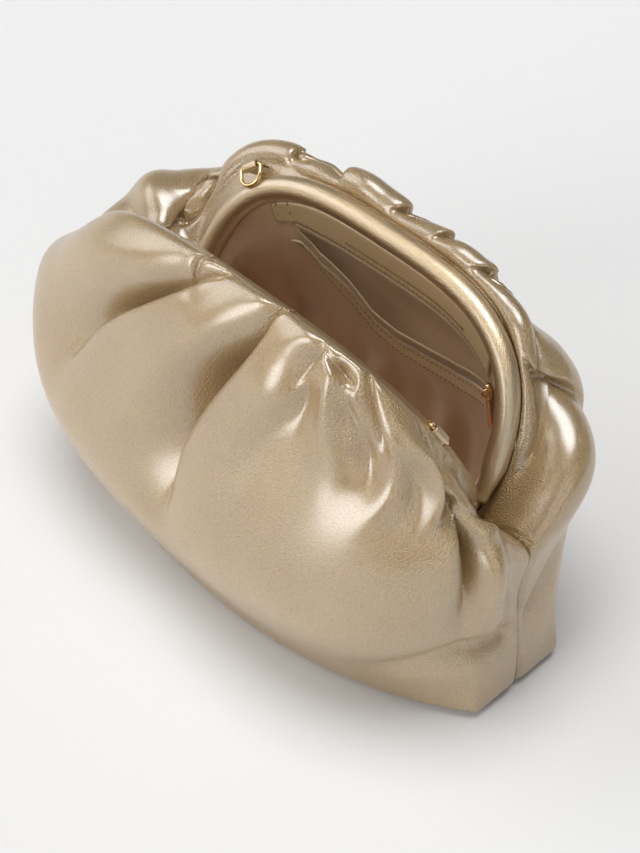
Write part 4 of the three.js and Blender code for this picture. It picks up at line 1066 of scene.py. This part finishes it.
# %% D-rings
RING_HALF, RING_SIDE, RING_CORNER, RING_WIRE, RING_SIDES = 6.4, 4.0, 1.5, 1.05, 14


def strap_ring(name, side, x, tab, lie):
    """D of wire: rounded corners at the straight side and a half circle, with a round section."""
    corner, bow = np.linspace(0, np.pi / 2, 9), np.linspace(0, np.pi, 33)
    flank = np.stack([RING_HALF - RING_CORNER + RING_CORNER * np.sin(corner),
                      RING_CORNER * (1 - np.cos(corner))], -1)
    arc = np.stack([RING_HALF * np.cos(bow), RING_SIDE + RING_HALF * np.sin(bow)], -1)
    line = np.concatenate([flank, arc, (flank * [-1, 1])[::-1]])
    run = unit(np.roll(line, -1, 0) - np.roll(line, 1, 0))
    turn = np.linspace(0, 2 * np.pi, RING_SIDES, endpoint=False)
    wide, deep = RING_WIRE * np.cos(turn), RING_WIRE * np.sin(turn)
    across = line[:, :1] + run[:, 1:] * wide
    down = line[:, 1:] - run[:, :1] * wide
    outward = tab[0] + lie[0] * down - lie[1] * deep
    aside = tab[1] + lie[1] * down + lie[0] * deep
    local = np.stack([across, outward, aside], -1)
    origin, axes = bar_place(side, x)
    piece = tube(f"strap_ring_{name}_wire", origin + local @ axes, GOLD, ring=True)
    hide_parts(f"strap_ring_{name}")


# %% Leather tabs
TAB_WIDTH, TAB_LOOP_R, TAB_THICK, TAB_OPEN, TAB_TAIL = 8.8, 2.0, 1.3, .62, .75


def strap_tab(name, side, x, tab, tail):
    """Leather strip from its tail round the ring's wire and back: a rounded section along the loop."""
    tab, tail = np.array(tab), np.array(tail)
    reach = np.linalg.norm(tail - tab)
    run = (tail - tab) / reach
    angle = np.linspace(TAB_OPEN, 2 * np.pi - TAB_OPEN, 41)
    bend = np.stack([TAB_LOOP_R * np.cos(angle), TAB_LOOP_R * np.sin(angle)], -1)
    loop = np.concatenate([[[reach, TAB_TAIL]], bend, [[reach, -TAB_TAIL]]])
    loop = along_length(np.column_stack([loop, 0 * loop[:, 0]]), 61)[:, :2]
    step = unit(np.gradient(loop, axis=0))
    side_way = np.stack([-step[:, 1], step[:, 0]], -1)
    section = rounded(TAB_WIDTH, TAB_THICK, 24, 4)
    flat = loop[:, None] + side_way[:, None] * section[None, :, 1:]
    plane = tab + flat[..., :1] * run + flat[..., 1:] * np.array([-run[1], run[0]])
    width = np.broadcast_to(section[None, :, 0], flat.shape[:2])
    origin, axes = bar_place(side, x)
    piece = tube(f"strap_tab_{name}_loop", origin + np.concatenate([width[..., None], plane], -1) @ axes,
                 BAR_LEATHER)
    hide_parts(f"strap_tab_{name}")


# %% Fittings on the tubes and finish of the hinges
for name, fit in FITTINGS.items():
    strap_ring(name, fit["side"], fit["x"], fit["tab"], fit["lie"])
    strap_tab(name, fit["side"], fit["x"], fit["tab"], fit["tail"])
for name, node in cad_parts.items():
    if name.startswith("hinge"):
        node.material_slots[0].material = GOLD
print("fittings", list(FITTINGS))

# %% [markdown]
# ## Floor, lights and camera
# A pale seamless floor, a dim even surround and four wide soft lights: from overhead, from the front,
# from the left and, weakly, from the right. The blurred mirror of the coat shows the lights as broad
# streaks, and the dim room between them gives the folds their contrast.

# %% Floor and lights
FLOOR_HALF = 6.0


def stage():
    """A large pale floor plane under the base."""
    mesh = bpy.data.meshes.new("floor")
    corners = FLOOR_HALF * np.array([(-1, -1, 0), (1, -1, 0), (1, 1, 0), (-1, 1, 0)])
    mesh.from_pydata(corners.tolist(), [], [(0, 1, 2, 3)])
    floor = bpy.data.objects.new("floor", mesh)
    bpy.context.scene.collection.objects.link(floor)
    material, _, shader, _ = finish("pale_paper_floor")
    shader.inputs["Base Color"].default_value = linear("#dfdfdf")
    shader.inputs["Roughness"].default_value = 0.9
    shader.inputs["Specular IOR Level"].default_value = 0.1
    mesh.materials.append(material)


def sun(name, toward, strength, spread):
    """A far soft light: direction it comes from, strength and its angular size in degrees."""
    lamp = bpy.data.lights.new(name, "SUN")
    lamp.energy = strength
    lamp.angle = math.radians(spread)
    piece = bpy.data.objects.new(name, lamp)
    piece.rotation_euler = Vector(toward).to_track_quat("Z", "Y").to_euler()
    bpy.context.scene.collection.objects.link(piece)


stage()
world = bpy.data.worlds.new("dim_room")
bpy.context.scene.world = world
world.use_nodes = True
surround = world.node_tree.nodes["Background"]
surround.inputs["Color"].default_value = (1, 1, 1, 1)
surround.inputs["Strength"].default_value = 0.16
sun("left_softbox", (-.785, -.366, .50), 1.0, 44)
sun("front_softbox", (-.10, -.95, .29), 1.4, 38)
sun("right_fill", (.80, -.45, .40), 0.35, 50)
sun("overhead", (-.03, .02, 1.0), 2.2, 38)
bpy.context.scene.view_settings.view_transform = "Standard"
print("lights", [light.name for light in bpy.data.lights])

# %% Camera
AZIMUTH, ELEVATION, DISTANCE = 45.46, 45.48, 1200.0
TARGET = np.array([2.36, -4.35, 90.0])
FOCAL_PX, IMAGE_HEIGHT, SENSOR_MM = 2422.97, 853, 36
turn, tilt = math.radians(AZIMUTH), math.radians(ELEVATION)
back_way = Vector((math.sin(turn) * math.cos(tilt), -math.cos(turn) * math.cos(tilt), math.sin(tilt)))
camera = bpy.data.objects.new("camera", bpy.data.cameras.new("camera"))
bpy.context.scene.collection.objects.link(camera)
camera.location = Vector((TARGET + SHIFT) / 1000) + back_way * DISTANCE / 1000
camera.rotation_euler = (-back_way).to_track_quat("-Z", "Y").to_euler()
camera.data.sensor_fit = "VERTICAL"
camera.data.sensor_height = SENSOR_MM
camera.data.lens = FOCAL_PX * SENSOR_MM / IMAGE_HEIGHT
bpy.context.scene.camera = camera
print("camera", round(camera.data.lens, 1), "mm lens,", DISTANCE, "mm away")
